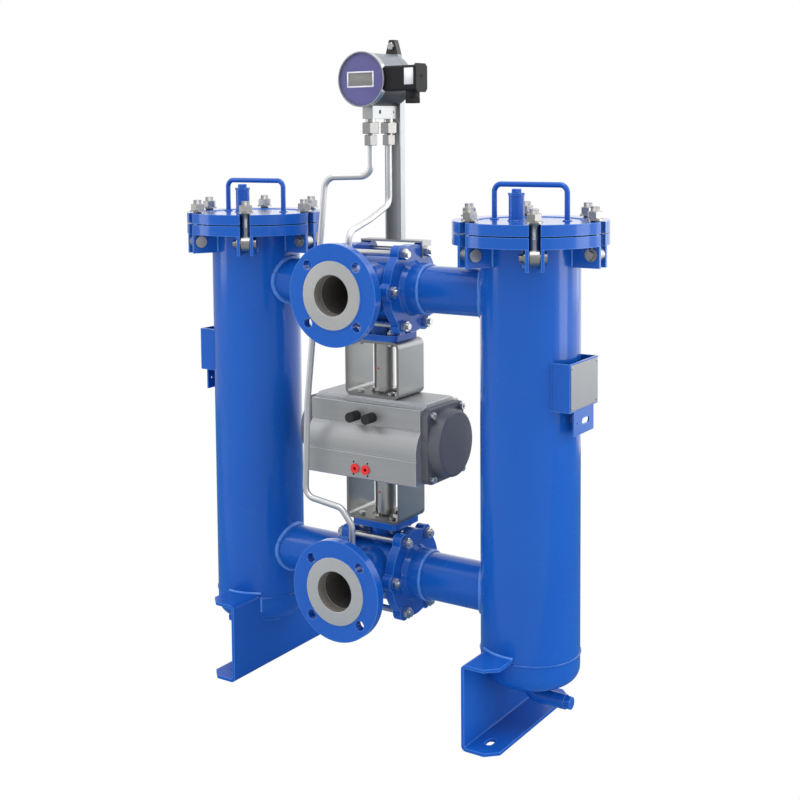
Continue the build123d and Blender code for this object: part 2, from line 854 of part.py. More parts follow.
def ball(axis_z, stem_side):
    """Ball with an L-shaped passage and a slot for the stem's tongue."""
    bore = port_bore - port_step
    ball_solid = Pos(0, 0, axis_z) * Sphere(ball_radius)
    passage = Pos(0, 0, axis_z) * Sphere(bore)
    passage = passage + rod(bore, ball_radius, along_x(-ball_radius, 0, axis_z))
    passage = passage + rod(bore, ball_radius, along_y(0, -ball_radius, axis_z))
    slot_z = axis_z + stem_side * (ball_radius - stem_tongue_depth / 2)
    slot = Pos(0, 0, slot_z) * Box(2 * ball_radius, stem_tongue, stem_tongue_depth)
    return ball_solid - passage - slot


def valve_stem(axis_z, stem_side):
    """Stem with a flat tongue in the ball's slot and a square end in the coupling."""
    up = Rot(0, 0, 0) if stem_side > 0 else Rot(180, 0, 0)
    top = Pos(0, 0, axis_z) * up
    root = ball_radius - stem_tongue_depth
    shoulder = ball_radius + cavity_clearance
    tongue = top * Pos(0, 0, root) * Box(
        2 * stem_radius - 2 * seat_clearance,
        stem_tongue - 2 * drive_clearance,
        shoulder - root,
        align=(Align.CENTER, Align.CENTER, Align.MIN),
    )
    tongue = tongue & rod(stem_radius, pad_height, top)
    shaft = rod(stem_radius, pad_height + yoke_sheet - shoulder, top * Pos(0, 0, shoulder))
    square = top * Pos(0, 0, pad_height + yoke_sheet) * Box(
        drive_square, drive_square, stem_reach - yoke_sheet,
        align=(Align.CENTER, Align.CENTER, Align.MIN),
    )
    return tongue + shaft + square


def stem_gland(axis_z, stem_side):
    """Packing follower let into the mounting pad round the stem."""
    up = Rot(0, 0, 0) if stem_side > 0 else Rot(180, 0, 0)
    place = Pos(0, 0, axis_z) * up * Pos(0, 0, pad_height - gland_depth)
    return pipe(gland_radius, stem_radius + stem_clearance, gland_depth, place)


def yoke_span(upper):
    """Bottom and top of the gap that a yoke bridges."""
    if upper:
        return actuator_top_z, upper_axis_z - pad_height
    return lower_axis_z + pad_height, actuator_bottom_z


def coupling(upper):
    """Sleeve that joins the valve's stem to the actuator's pinion."""
    bottom, top = yoke_span(upper)
    start = bottom + yoke_sheet + coupling_gap
    end = top - yoke_sheet - coupling_gap
    sleeve = rod(coupling_radius, end - start, Pos(0, 0, start))
    foot_z = start if upper else end - coupling_foot_height
    sleeve = sleeve + rod(coupling_foot_radius, coupling_foot_height, Pos(0, 0, foot_z))
    square = drive_square + 2 * drive_clearance
    bore = Pos(0, 0, start) * Box(
        square, square, end - start, align=(Align.CENTER, Align.CENTER, Align.MIN)
    )
    return sleeve - bore


def yoke_screw_places(z):
    places = []
    for x in (-yoke_screw_spread, yoke_screw_spread):
        for y in (-yoke_screw_spread + 5, yoke_screw_spread - 5):
            places.append(Pos(x, y, z))
    return places


def yoke(upper):
    """Box bracket folded from sheet that carries the actuator on a valve."""
    bottom, top = yoke_span(upper)
    height = top - bottom
    outside = RectangleRounded(2 * yoke_half_width, height, yoke_bend)
    inside = RectangleRounded(
        2 * yoke_half_width - 2 * yoke_sheet, height - 2 * yoke_sheet, yoke_bend - yoke_sheet
    )
    frame = Pos(0, 0, (bottom + top) / 2) * Rot(90, 0, 0) * extrude(
        outside - inside, yoke_depth / 2, both=True
    )
    frame = frame - rod(yoke_window_radius, height, Pos(0, 0, bottom))
    for place in yoke_screw_places(bottom):
        frame = frame - place * Cylinder(
            yoke_screw_radius, height, align=(Align.CENTER, Align.CENTER, Align.MIN)
        )
    return frame


def yoke_screws(upper):
    """Hexagon screws that hold a yoke to its valve's pad and to the actuator."""
    bottom, top = yoke_span(upper)
    valve_z = top if upper else bottom
    towards_valve = 1 if upper else -1
    head_z = valve_z - towards_valve * yoke_sheet
    through = yoke_sheet + pad_thickness
    screws = []
    for place in yoke_screw_places(head_z):
        up = place if upper else place * Rot(180, 0, 0)
        shank = rod(yoke_screw_radius, through + pad_nut_height + pad_thread_beyond_nut, up)
        head = hexagon(yoke_screw_flats, yoke_screw_head, up * Pos(0, 0, -yoke_screw_head))
        nut = hexagon(yoke_screw_flats, pad_nut_height, up * Pos(0, 0, through))
        screws.append(shank + head + nut)
    base_z = bottom + yoke_sheet if upper else top - yoke_sheet
    for place in yoke_screw_places(base_z):
        down = place * Rot(180, 0, 0) if upper else place
        shank = rod(yoke_screw_radius, yoke_screw_grip, down)
        head = hexagon(yoke_screw_flats, yoke_screw_head, down * Pos(0, 0, -yoke_screw_head))
        screws.append(shank + head)
    return screws


def actuator_profile():
    """Section of the extruded housing, looking along X: front at negative y."""
    low = actuator_bottom_z
    high = actuator_top_z
    shoulder = high - actuator_shoulder
    band_low = actuator_z + 32
    pad_high = actuator_z - 18
    front = -actuator_half_width
    pad = -actuator_pad_y
    back = actuator_half_width
    bulge_middle = (front - 11, (band_low + pad_high) / 2 + 4)
    outline = Curve()
    outline += Polyline(
        (back - 6, low), (pad + 2, low), (pad, low + 2), (pad, pad_high - 5),
        (pad + 2, pad_high - 5), (pad + 2, pad_high - 2), (pad, pad_high - 2), (pad, pad_high),
    )
    outline += ThreePointArc((pad, pad_high), bulge_middle, (front + 2, band_low - 2))
    outline += Polyline(
        (front + 2, band_low - 2), (front, band_low), (front, shoulder), (front + 14, shoulder),
        (front + 14, shoulder + 3), (front + 20, shoulder + 3), (front + 22, high),
        (back - 22, high), (back - 20, shoulder + 3), (back - 14, shoulder + 3),
        (back - 14, shoulder), (back, shoulder), (back, band_low), (back - 2, band_low - 2),
    )
    outline += ThreePointArc(
        (back - 2, band_low - 2), (back + 6, actuator_z), (back - 2, low + 26)
    )
    outline += Polyline((back - 2, low + 26), (back, low + 22), (back, low + 6), (back - 6, low))
    return make_face(outline.edges())


def actuator_body():
    """Extruded housing with the piston bore, pinion bearings and air ports."""
    section = Plane.YZ * actuator_profile()
    body = Pos(-actuator_half_length, 0, 0) * extrude(section, 2 * actuator_half_length)
    body = body - rod(
        actuator_bore, 2 * actuator_half_length, along_x(-actuator_half_length, 0, actuator_z)
    )
    body = body - rod(
        pinion_shaft_radius + pinion_clearance,
        actuator_top_z - actuator_bottom_z,
        Pos(0, 0, actuator_bottom_z),
    )
    body = body - rod(
        pinion_journal_radius + pinion_clearance,
        actuator_z - actuator_bottom_z,
        Pos(0, 0, actuator_bottom_z),
    )
    for side in (-1, 1):
        x = side * port_plug_spacing / 2
        body = body - rod(
            port_plug_shank, port_plug_depth, along_y(x, -actuator_pad_y, port_plug_z)
        )
        x = side * silencer_spacing / 2
        body = body - rod(
            port_plug_shank, port_plug_depth, along_y(x, -actuator_half_width, silencer_z)
        )
        for rise in (-pad_hole_half_z, pad_hole_half_z):
            place = along_y(side * pad_hole_half_x, -actuator_pad_y, port_plug_z + rise)
            body = body - rod(pad_hole_radius, port_plug_depth, place)
    for place in yoke_screw_places(actuator_top_z):
        body = body - rod(yoke_screw_radius, yoke_screw_grip, place * Rot(180, 0, 0))
    for place in yoke_screw_places(actuator_bottom_z):
        body = body - rod(yoke_screw_radius, yoke_screw_grip, place)
    for side in (-1, 1):
        for place in cap_screw_places(side):
            body = body - place * Cylinder(
                cap_screw_radius, 2 * actuator_cap_flange + 2, align=(Align.CENTER, Align.CENTER, Align.MAX)
            )
    return body


def cap_screw_places(side):
    """Places on an end cap's flange face, each with its Z pointing outwards."""
    x = side * (actuator_half_length + actuator_cap_flange)
    places = []
    for y in (-cap_screw_y, cap_screw_y):
        for rise in (-cap_screw_z, cap_screw_z):
            places.append(Pos(x, y, actuator_z + rise) * Rot(0, 90 * side, 0))
    return places


def actuator_end_cap(side):
    """Domed cast cover over one end of the piston bore."""
    height = actuator_top_z - actuator_shoulder - actuator_bottom_z
    outline = Rectangle(height, 2 * actuator_half_width - 8)
    outline = fillet(outline.vertices(), 16)
    start = along_x(actuator_half_length, 0, actuator_z)
    flange = start * extrude(outline, actuator_cap_flange)
    dome = start * Cone(
        actuator_cap_root_radius,
        actuator_cap_radius,
        actuator_cap_length,
        align=(Align.CENTER, Align.CENTER, Align.MIN),
    )
    dome = fillet(dome.edges().sort_by(Axis.X)[-1], 5)
    cap = flange + dome
    inner_depth = actuator_cap_length - actuator_cap_wall
    cap = cap - rod(actuator_bore - 4, inner_depth, start)
    if side < 0:
        cap = mirror(cap, Plane.YZ)
    for place in cap_screw_places(side):
        cap = cap - place * Cylinder(
            cap_screw_radius, 2 * actuator_cap_flange, align=(Align.CENTER, Align.CENTER, Align.CENTER)
        )
    return cap


def cap_screw(place):
    head = rod(cap_screw_head_radius, cap_screw_head, place)
    shank = place * Cylinder(
        cap_screw_radius, 2 * actuator_cap_flange, align=(Align.CENTER, Align.CENTER, Align.MAX)
    )
    socket = recess(
        cap_screw_socket, cap_screw_socket_depth, place * Pos(0, 0, cap_screw_head - cap_screw_socket_depth)
    )
    return head + shank - socket


def gear_face():
    """Involute pinion outline, one tooth at a time round the pitch circle."""
    base = gear_radius * cos(radians(pressure_angle))
    tip = gear_radius + gear_addendum * gear_module
    root = gear_radius - gear_dedendum * gear_module
    flank_steps = 4

    def involute(radius):
        """Angle that the flank has turned by, from its base circle to the radius."""
        ratio = sqrt((radius / base) ** 2 - 1)
        return ratio - atan(ratio)

    half_tooth = pi / (2 * gear_teeth) - gear_backlash / (2 * gear_radius) + involute(gear_radius)
    points = []
    for tooth in range(gear_teeth):
        middle = 2 * pi * (tooth + 0.5) / gear_teeth
        flank = [(root, half_tooth)]
        for step in range(flank_steps + 1):
            radius = base + (tip - base) * step / flank_steps
            flank.append((radius, half_tooth - involute(radius)))
        for radius, turn in flank:
            points.append((radius * cos(middle - turn), radius * sin(middle - turn)))
        for radius, turn in reversed(flank):
            points.append((radius * cos(middle + turn), radius * sin(middle + turn)))
    return make_face(Polyline(*points, close=True))


def drive_pinion():
    """Toothed shaft through the actuator, with a square stub at each end."""
    gear = Pos(0, 0, actuator_z - gear_face_half) * extrude(gear_face(), 2 * gear_face_half)
    height = actuator_top_z - actuator_bottom_z
    shaft = rod(pinion_shaft_radius, height, Pos(0, 0, actuator_bottom_z))
    journal = rod(
        pinion_journal_radius, journal_top_z - actuator_bottom_z, Pos(0, 0, actuator_bottom_z)
    )
    stub = Pos(0, 0, actuator_z) * Box(drive_square, drive_square, height + 2 * pinion_stub)
    return gear + shaft + journal + stub


def piston(side):
    """Piston with a rack that meshes with one side of the pinion."""
    pitch = pi * gear_module
    lean = tan(radians(pressure_angle))
    tip_half = pitch / 4 - gear_backlash / 2 - lean * gear_addendum * gear_module
    root_half = pitch / 4 - gear_backlash / 2 + lean * gear_dedendum * gear_module
    rack_tip = gear_radius - gear_addendum * gear_module
    rack_root = gear_radius + gear_dedendum * gear_module
    back = rack_tip + rack_arm_depth
    inner_end = -piston_travel - pitch
    points = [(piston_inner_x, back), (inner_end, back), (inner_end, rack_root)]
    first = int(inner_end / pitch)
    last = int((piston_inner_x - pitch) / pitch)
    for tooth in range(first, last):
        middle = (tooth + 0.5) * pitch
        points.append((middle - root_half, rack_root))
        points.append((middle - tip_half, rack_tip))
        points.append((middle + tip_half, rack_tip))
        points.append((middle + root_half, rack_root))
    points.append((piston_inner_x, rack_root))
    rack = Pos(0, 0, actuator_z - rack_arm_half_height) * extrude(
        make_face(Polyline(*points, close=True)), 2 * rack_arm_half_height
    )
    disc = rod(
        actuator_bore - piston_clearance, piston_thickness, along_x(piston_inner_x, 0, actuator_z)
    )
    turned = Rot(180, 0, 0) if side > 0 else Rot(0, 180, 0)
    return Pos(0, 0, actuator_z) * turned * Pos(0, 0, -actuator_z) * (disc + rack)


def silencer(side):
    """Sintered exhaust silencer screwed into the housing's front."""
    place = along_y(side * silencer_spacing / 2, -actuator_half_width - silencer_length, silencer_z)
    knob = rod(silencer_radius, silencer_length, place)
    thread = rod(port_plug_shank, silencer_length + port_plug_depth, place)
    return knob + thread


def port_plug(side):
    """Plastic cap pressed into an air port."""
    place = along_y(side * port_plug_spacing / 2, -actuator_pad_y - port_plug_head, port_plug_z)
    head = rod(port_plug_radius, port_plug_head, place)
    shank = rod(port_plug_shank, port_plug_head + port_plug_depth, place)
    return head + shank - rod(port_plug_shank - 2, port_plug_depth, place)


def gauge_post():
    """Channel welded on a plate whose turned-down ends hang on the rear tie bolts."""
    bottom = post_base_z + post_base_sheet
    height = gauge_z + gauge_radius / 2 - bottom
    on_plate = (Align.CENTER, Align.CENTER, Align.MIN)
    channel = Pos(0, post_y, bottom) * Box(post_width, post_depth, height, align=on_plate)
    channel = channel - Pos(0, post_y - post_sheet, bottom) * Box(
        post_width - 2 * post_sheet, post_depth, height, align=on_plate
    )
    shoulder_z = bottom + height
    half = post_width / 2
    back = post_y + post_depth / 2
    web_top = Pos(0, back, 0) * Rot(90, 0, 0) * extrude(
        make_face(
            Polyline(
                (-half, shoulder_z), (half, shoulder_z), (lug_tip_half_width, lug_top_z),
                (-lug_tip_half_width, lug_top_z), close=True,
            )
        ),
        post_sheet,
    )
    outer_x = end_plate_x + post_tab_sheet
    plate = Pos(0, post_y, post_base_z) * Box(
        2 * outer_x, post_base_width, post_base_sheet, align=on_plate
    )
    post = channel + web_top + plate
    for side in (-1, 1):
        post = post + Pos(side * (end_plate_x + post_tab_sheet / 2), post_y, post_base_z) * Box(
            post_tab_sheet, post_base_width, post_tab_drop,
            align=(Align.CENTER, Align.CENTER, Align.MAX),
        )
    tie_hole = along_x(-outer_x, tie_bolt_y, upper_axis_z + tie_bolt_rise)
    post = post - rod(tie_rod_radius + tie_rod_clearance, 2 * outer_x, tie_hole)
    screw_hole = along_y(0, post_web_y, lug_top_z - lug_screw_drop)
    return post - rod(yoke_screw_radius, post_sheet, screw_hole)


def gauge_housing():
    """Die-cast cylindrical case with a mounting lug at the rear."""
    case_front = gauge_front_y + bezel_depth
    case = rod(gauge_radius, gauge_back_y - case_front, along_y(0, case_front, gauge_z))
    case = fillet(case.edges().sort_by(Axis.Y)[-1], 8)
    seam = pipe(gauge_radius, gauge_radius - 1, seam_width, along_y(0, seam_y, gauge_z))
    lug = Pos(0, post_web_y, 0) * Rot(90, 0, 0) * extrude(
        make_face(
            Polyline(
                (-lug_half_width, gauge_z - gauge_radius / 2),
                (lug_half_width, gauge_z - gauge_radius / 2),
                (lug_half_width, gauge_z + gauge_radius),
                (lug_tip_half_width, lug_top_z),
                (-lug_tip_half_width, lug_top_z),
                (-lug_half_width, gauge_z + gauge_radius),
                close=True,
            )
        ),
        lug_depth,
    )
    spine = Pos(0, gauge_back_y - lug_depth, gauge_z) * Box(
        2 * lug_half_width, lug_depth, gauge_radius, align=(Align.CENTER, Align.MIN, Align.CENTER)
    )
    screw_hole = along_y(0, post_web_y - lug_depth, lug_top_z - lug_screw_drop)
    return case - seam + lug + spine - rod(yoke_screw_radius, lug_depth, screw_hole)


def lug_screw():
    """Hexagon screw through the gauge's lug and the post."""
    place = along_y(0, post_web_y - lug_depth, lug_top_z - lug_screw_drop)
    shank = rod(yoke_screw_radius, lug_depth + post_sheet, place)
    return shank + hexagon(yoke_screw_flats, yoke_screw_head, place * Pos(0, 0, -yoke_screw_head))


def gauge_bezel():
    """Bright ring that clamps the glass over the dial."""
    ring = pipe(bezel_radius, bezel_radius - bezel_lip, bezel_depth, along_y(0, gauge_front_y, gauge_z))
    return ring


def gauge_dial():
    disc = rod(
        bezel_radius - bezel_lip,
        dial_thickness + bezel_depth - dial_recess - glass_thickness - dial_thickness,
        along_y(0, gauge_front_y + dial_recess + glass_thickness, gauge_z),
    )
    window = Pos(display_x, gauge_front_y + dial_recess + glass_thickness, gauge_z) * Box(
        display_width, 2 * dial_thickness, display_height
    )
    return disc - window


def gauge_glass():
    return rod(
        bezel_radius - bezel_lip, glass_thickness, along_y(0, gauge_front_y + dial_recess, gauge_z)
    )


def connector_box():
    """Plug housing on the side of the case, with a raised end cover."""
    length = box_end_x - box_start_x
    box = Pos(box_start_x, box_front_y, gauge_z) * Box(
        length, box_back_y - box_front_y, 2 * box_half_height,
        align=(Align.MIN, Align.MIN, Align.CENTER),
    )
    box = chamfer(box.edges().filter_by(Axis.X), 3)
    cap = Pos(box_end_x, (box_front_y + box_back_y) / 2, gauge_z) * Box(
        box_cap_thickness,
        box_back_y - box_front_y + box_cap_rise,
        2 * box_half_height + 2 * box_cap_rise,
        align=(Align.MIN, Align.CENTER, Align.CENTER),
    )
    cap = chamfer(cap.edges().filter_by(Axis.X), 6)
    case_front = gauge_front_y + bezel_depth
    case = rod(gauge_radius, gauge_back_y - case_front, along_y(0, case_front, gauge_z))
    bezel = rod(bezel_radius + bezel_gap, bezel_depth, along_y(0, gauge_front_y, gauge_z))
    return box + cap - case - bezel


def cable_gland():
    """Screwed gland under the connector box, open for a cable."""
    x = box_end_x - cable_gland_inset
    y = (box_front_y + box_back_y) / 2
    top = Pos(x, y, gauge_z - box_half_height) * Rot(180, 0, 0)
    body = rod(cable_gland_radius, cable_gland_length * 0.55, top)
    nut = hexagon(
        2 * cable_gland_radius, cable_gland_length * 0.45, top * Pos(0, 0, cable_gland_length * 0.55)
    )
    return body + nut - rod(cable_bore, cable_gland_length, top)


def manifold_block():
    top = gauge_z - sqrt(gauge_radius**2 - manifold_half_width**2) + 2
    block = Pos(0, manifold_front_y, manifold_bottom_z) * Box(
        2 * manifold_half_width,
        manifold_back_y - manifold_front_y,
        top - manifold_bottom_z,
        align=(Align.CENTER, Align.MIN, Align.MIN),
    )
    case_front = gauge_front_y + bezel_depth
    block = block - rod(gauge_radius, gauge_back_y - case_front, along_y(0, case_front, gauge_z))
    for side in (-1, 1):
        x = side * manifold_half_width
        for y, radius in ((manifold_screw_front_y, manifold_recess), (manifold_screw_back_y, manifold_hole)):
            place = Pos(x, y, manifold_bottom_z + manifold_screw_rise) * Rot(0, -90 * side, 0)
            block = block - rod(radius, manifold_hole_depth, place)
    return block


def tube_fitting(y):
    """Compression fitting: hexagon body screwed into the block and its smaller nut."""
    place = Pos(0, y, manifold_bottom_z) * Rot(180, 0, 0)
    neck = rod(fitting_nut_flats / 2 - 2, 6, place)
    body = hexagon(fitting_hex_flats, fitting_hex_height - 6, place * Pos(0, 0, 6))
    nut_start = place * Pos(0, 0, fitting_hex_height + 2)
    thread = rod(fitting_nut_flats / 2 - 3, 2, place * Pos(0, 0, fitting_hex_height))
    nut = hexagon(fitting_nut_flats, fitting_nut_height, nut_start)
    length = fitting_hex_height + 2 + fitting_nut_height
    return neck + body + thread + nut - rod(tube_radius, length, place)


def impulse_tube(points):
    """Bent steel tube: straight runs joined by arcs of one bending radius."""
    path = FilletPolyline(*points, radius=tube_bend)
    direction = Vector(*points[1]) - Vector(*points[0])
    section = Plane(origin=points[0], z_dir=direction) * Circle(tube_radius)
    return sweep(section, path)


def impulse_tubes():
    """One tube to the upper valve's port neck and one down to the lower valve's."""
    start_z = manifold_bottom_z - fitting_hex_height - 2 - fitting_nut_height / 2
    socket = neck_radius + tube_boss_height - tube_socket_depth
    lower = [
        (0, fitting_front_y, start_z),
        (0, fitting_front_y, 1003),
        (-92, -60, 1001),
        (-112, -100, 570),
        (-110, -113, 391),
        (-24, tapping_y, 381),
        (0, tapping_y, 351),
        (0, tapping_y, lower_axis_z + socket),
    ]
    upper = [
        (0, fitting_back_y, start_z),
        (0, fitting_back_y, 948),
        (0, -46, 922),
        (0, tapping_y, 902),
        (0, tapping_y, upper_axis_z + socket),
    ]
    return impulse_tube(lower), impulse_tube(upper)


def write(name, solids):
    """Writes one node, given one shape or a list of them."""
    shape = Compound(children=list(solids)) if isinstance(solids, (list, tuple)) else solids
    export_step(shape, f"parts/{name}.step")


os.makedirs("parts", exist_ok=True)
sides = {"left": -1, "right": 1}

for name, side in sides.items():
    write(f"vessel_{name}", vessel(side))
    write(f"lid_{name}", lid(side))
    write(f"basket_{name}", basket(side))
    write(f"foot_{name}", foot(side))
    write(f"piston_{name}", piston(side))
    for index in range(closure_bolts):
        write(f"swing_bolt_{name}_{index + 1}", swing_bolt(side, index))

both = list(sides.values())
write("lid_handles", [lid_handle(side) for side in both])
write("vent_plugs", [vent_plug(side) for side in both])
write("lid_gaskets", [lid_gasket(side) for side in both])
write("closure_flanges", [closure_flange(side) for side in both])
bolts = [(side, index) for side in both for index in range(closure_bolts)]
write("bolt_ears", [plate for side, index in bolts for plate in bolt_ears(side, index)])
write("hinge_pins", [hinge_pin(side, index) for side, index in bolts])
write("drain_elbows", [drain_elbow(side) for side in both])
write("drain_plugs", [drain_plug(side) for side in both])
write("nameplate_brackets", [nameplate_bracket(side) for side in both])
write("nameplates", [nameplate(side) for side in both])

axes = [(upper_axis_z, -1), (lower_axis_z, 1)]
write("branch_pipes", [branch_pipe(side, z) for side in both for z, _ in axes])
write("valve_end_caps", [valve_end_cap(side, z) for side in both for z, _ in axes])
long_bolts = [i for i in range(tie_bolt_count) if i != neck_tie_index]
studs = [neck_stud(side, z) for side in both for z, _ in axes]
write("tie_bolts", [tie_bolt(z, i) for z, _ in axes for i in long_bolts] + studs)
write("valve_body_upper", valve_body(*axes[0]))
write("valve_body_lower", valve_body(*axes[1]))
write("ball_seats", ball_seats(upper_axis_z) + ball_seats(lower_axis_z))
write("balls", [ball(*axes[0]), ball(*axes[1])])
write("valve_stems", [valve_stem(z, stem_side) for z, stem_side in axes])
write("stem_glands", [stem_gland(z, stem_side) for z, stem_side in axes])
write("stem_couplings", [coupling(True), coupling(False)])
write("yokes", [yoke(True), yoke(False)])

write("actuator_body", actuator_body())
write("actuator_end_caps", [actuator_end_cap(side) for side in both])
write("cap_screws", [cap_screw(place) for side in both for place in cap_screw_places(side)])
write("hexagon_screws", yoke_screws(True) + yoke_screws(False) + [lug_screw()])
write("drive_pinion", drive_pinion())
write("silencers", [silencer(side) for side in both])
write("port_plugs", [port_plug(side) for side in both])

write("gauge_housing", gauge_housing())
write("gauge_bezel", gauge_bezel())
write("gauge_dial", gauge_dial())
write("gauge_glass", gauge_glass())
write("connector_box", connector_box())
write("cable_gland", cable_gland())
write("manifold_block", manifold_block())
write("tube_fittings", [tube_fitting(fitting_front_y), tube_fitting(fitting_back_y)])
write("impulse_tubes", impulse_tubes())
write("gauge_post", gauge_post())
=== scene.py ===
from math import acos, cos, pi, radians, sin, sqrt

import bmesh
import bpy
from mathutils import Matrix, Vector


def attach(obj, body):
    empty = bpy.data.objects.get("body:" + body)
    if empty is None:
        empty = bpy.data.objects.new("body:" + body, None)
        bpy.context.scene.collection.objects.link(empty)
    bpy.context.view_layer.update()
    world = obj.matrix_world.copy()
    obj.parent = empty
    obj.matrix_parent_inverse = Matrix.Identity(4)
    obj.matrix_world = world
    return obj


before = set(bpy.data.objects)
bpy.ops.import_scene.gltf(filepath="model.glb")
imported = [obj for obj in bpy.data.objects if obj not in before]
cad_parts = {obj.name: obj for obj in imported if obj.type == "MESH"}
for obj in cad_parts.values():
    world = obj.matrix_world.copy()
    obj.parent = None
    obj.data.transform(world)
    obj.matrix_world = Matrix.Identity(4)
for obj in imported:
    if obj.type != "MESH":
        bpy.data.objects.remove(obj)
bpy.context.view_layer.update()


# Feet: folded steel sheet, welded under each vessel and powder coated blue with the rest of
# the steelwork. The coat is glossy with a faint orange peel and slightly uneven colour, and
# its edges are lightened by painted highlights.
class Wire:
    """One socket of a finish; sums, products and comparisons of wires add Math nodes."""

    def __init__(self, finish, socket):
        self.finish = finish
        self.socket = socket

    def __add__(self, other):
        return self.finish.maths("ADD", self, other)

    def __radd__(self, other):
        return self.finish.maths("ADD", other, self)

    def __sub__(self, other):
        return self.finish.maths("SUBTRACT", self, other)

    def __rsub__(self, other):
        return self.finish.maths("SUBTRACT", other, self)

    def __mul__(self, other):
        return self.finish.maths("MULTIPLY", self, other)

    def __rmul__(self, other):
        return self.finish.maths("MULTIPLY", other, self)

    def __truediv__(self, other):
        return self.finish.maths("DIVIDE", self, other)

    def __lt__(self, other):
        return self.finish.maths("LESS_THAN", self, other)

    def __gt__(self, other):
        return self.finish.maths("GREATER_THAN", self, other)


class Finish:
    """A material of one Principled shader; its constants are set on the shader's own sockets."""

    def __init__(self, name, **constants):
        self.material = bpy.data.materials.new(name)
        self.material.use_nodes = True
        self.tree = self.material.node_tree
        self.shader = self.tree.nodes["Principled BSDF"]
        for words, value in constants.items():
            socket = " ".join(w.capitalize() for w in words.split("_")).replace("Ior", "IOR")
            self.shader.inputs[socket].default_value = value

    def node(self, kind, settings=None, sockets=None, output=0):
        made = self.tree.nodes.new(kind)
        for name, value in (settings or {}).items():
            setattr(made, name, value)
        for key, value in (sockets or {}).items():
            if isinstance(value, Wire):
                self.tree.links.new(value.socket, made.inputs[key])
            else:
                made.inputs[key].default_value = value
        return Wire(self, made.outputs[output])

    def maths(self, operation, first, second=0.0):
        return self.node("ShaderNodeMath", {"operation": operation}, {0: first, 1: second})

    def feed(self, **wires):
        for words, wire in wires.items():
            socket = " ".join(w.capitalize() for w in words.split("_"))
            self.tree.links.new(wire.socket, self.shader.inputs[socket])

    def place(self):
        return self.node("ShaderNodeTexCoord", output="Object")

    def axes(self):
        """The three coordinates of the surface point, in metres."""
        split = self.tree.nodes.new("ShaderNodeSeparateXYZ")
        self.tree.links.new(self.place().socket, split.inputs[0])
        return [Wire(self, split.outputs[i]) for i in range(3)]

    def noise(self, scale, detail=3.0, stretch=(1.0, 1.0, 1.0)):
        spread = self.node("ShaderNodeMapping", {}, {"Vector": self.place(), "Scale": stretch})
        return self.node(
            "ShaderNodeTexNoise", {}, {"Vector": spread, "Scale": scale, "Detail": detail}
        )

    def blend(self, factor, first, second):
        """A colour between two others; each may be four numbers or a wire."""
        return self.node(
            "ShaderNodeMix", {"data_type": "RGBA"}, {0: factor, 6: first, 7: second}, output=2
        )

    def edges(self, radius):
        """1 where the surface turns within the radius, 0 on flats."""
        rounded = self.node("ShaderNodeBevel", {"samples": 6}, {"Radius": radius})
        surface = self.node("ShaderNodeNewGeometry", output=1)
        match = self.node(
            "ShaderNodeVectorMath", {"operation": "DOT_PRODUCT"}, {0: rounded, 1: surface}, output=1
        )
        return self.node(
            "ShaderNodeMapRange", {}, {"Value": match, "From Min": 0.985, "From Max": 0.86}
        )

    def relief(self, height, depth, edge_radius):
        """Bump of the given depth over edges that are rounded for the light."""
        edges = self.node("ShaderNodeBevel", {"samples": 4}, {"Radius": edge_radius})
        self.feed(normal=self.node(
            "ShaderNodeBump", {}, {"Strength": 1.0, "Distance": depth, "Height": height, "Normal": edges}
        ))


deep_blue = (0.005, 0.079, 0.4, 1.0)
light_blue = (0.008, 0.1, 0.465, 1.0)
edge_highlight_blue = (0.14, 0.36, 0.9, 1.0)


def paint_over(finish):
    """Colour, roughness and height of the blue powder coat, with painted highlights on its edges."""
    flat = finish.blend(finish.noise(5.0, 4.0), deep_blue, light_blue)
    # Painted highlight: the coat is blended towards a pale blue wherever the surface turns an edge.
    tone = finish.blend(0.55 * finish.edges(0.0026), flat, edge_highlight_blue)
    sheen = 0.2 + 0.12 * finish.noise(26.0, 5.0)
    peel = finish.noise(330.0, 2.0) + 0.5 * finish.noise(90.0, 2.0)
    return tone, sheen, peel


blue_coat = Finish("blue_coat", ior=1.2, coat_weight=1.0, coat_roughness=0.13, coat_ior=1.38)
coat_tone, coat_sheen, coat_peel = paint_over(blue_coat)
blue_coat.feed(base_color=coat_tone, roughness=coat_sheen)
blue_coat.relief(coat_peel, 0.00012, 0.0012)
bead_highlight_coat = Finish("bead_highlight_coat", ior=1.2, coat_weight=1.0, coat_roughness=0.2, coat_ior=1.38)
bead_tone, bead_sheen, bead_peel = paint_over(bead_highlight_coat)
# Painted highlight: the beads are blended further towards the pale edge blue all over.
bead_highlight_coat.feed(
    base_color=bead_highlight_coat.blend(0.35 + 0.3 * bead_highlight_coat.noise(140.0), bead_tone, edge_highlight_blue),
    roughness=bead_sheen,
)
bead_highlight_coat.relief(bead_peel, 0.0002, 0.0008)


def dress(names, finish):
    """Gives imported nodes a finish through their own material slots."""
    for name in names:
        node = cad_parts[name]
        for slot in node.material_slots:
            slot.material = finish.material


foot_coat = Finish("foot_coat", ior=1.2, coat_weight=0.3, coat_roughness=0.2, coat_ior=1.38)
foot_tone, foot_sheen, foot_peel = paint_over(foot_coat)
foot_coat.feed(base_color=foot_tone, roughness=0.12 + foot_sheen)
foot_coat.relief(foot_peel, 0.00012, 0.0012)
dress(["foot_left", "foot_right"], foot_coat)


# Vessels: rolled shell, dished head and slotted closure flange, all welded. The beads of the
# seams stand a little proud under the paint.
vessel_x = 0.313
vessel_radius = 0.09
head_seam_z = 0.145
flange_underside_z = 0.886
upper_axis_z = 0.791
lower_axis_z = 0.241
pipe_radius = 0.04445
shell_bead_radius = vessel_radius + 0.001
seam_radius = pipe_radius + 0.001
seam_points = 170
weld_step = 0.0016


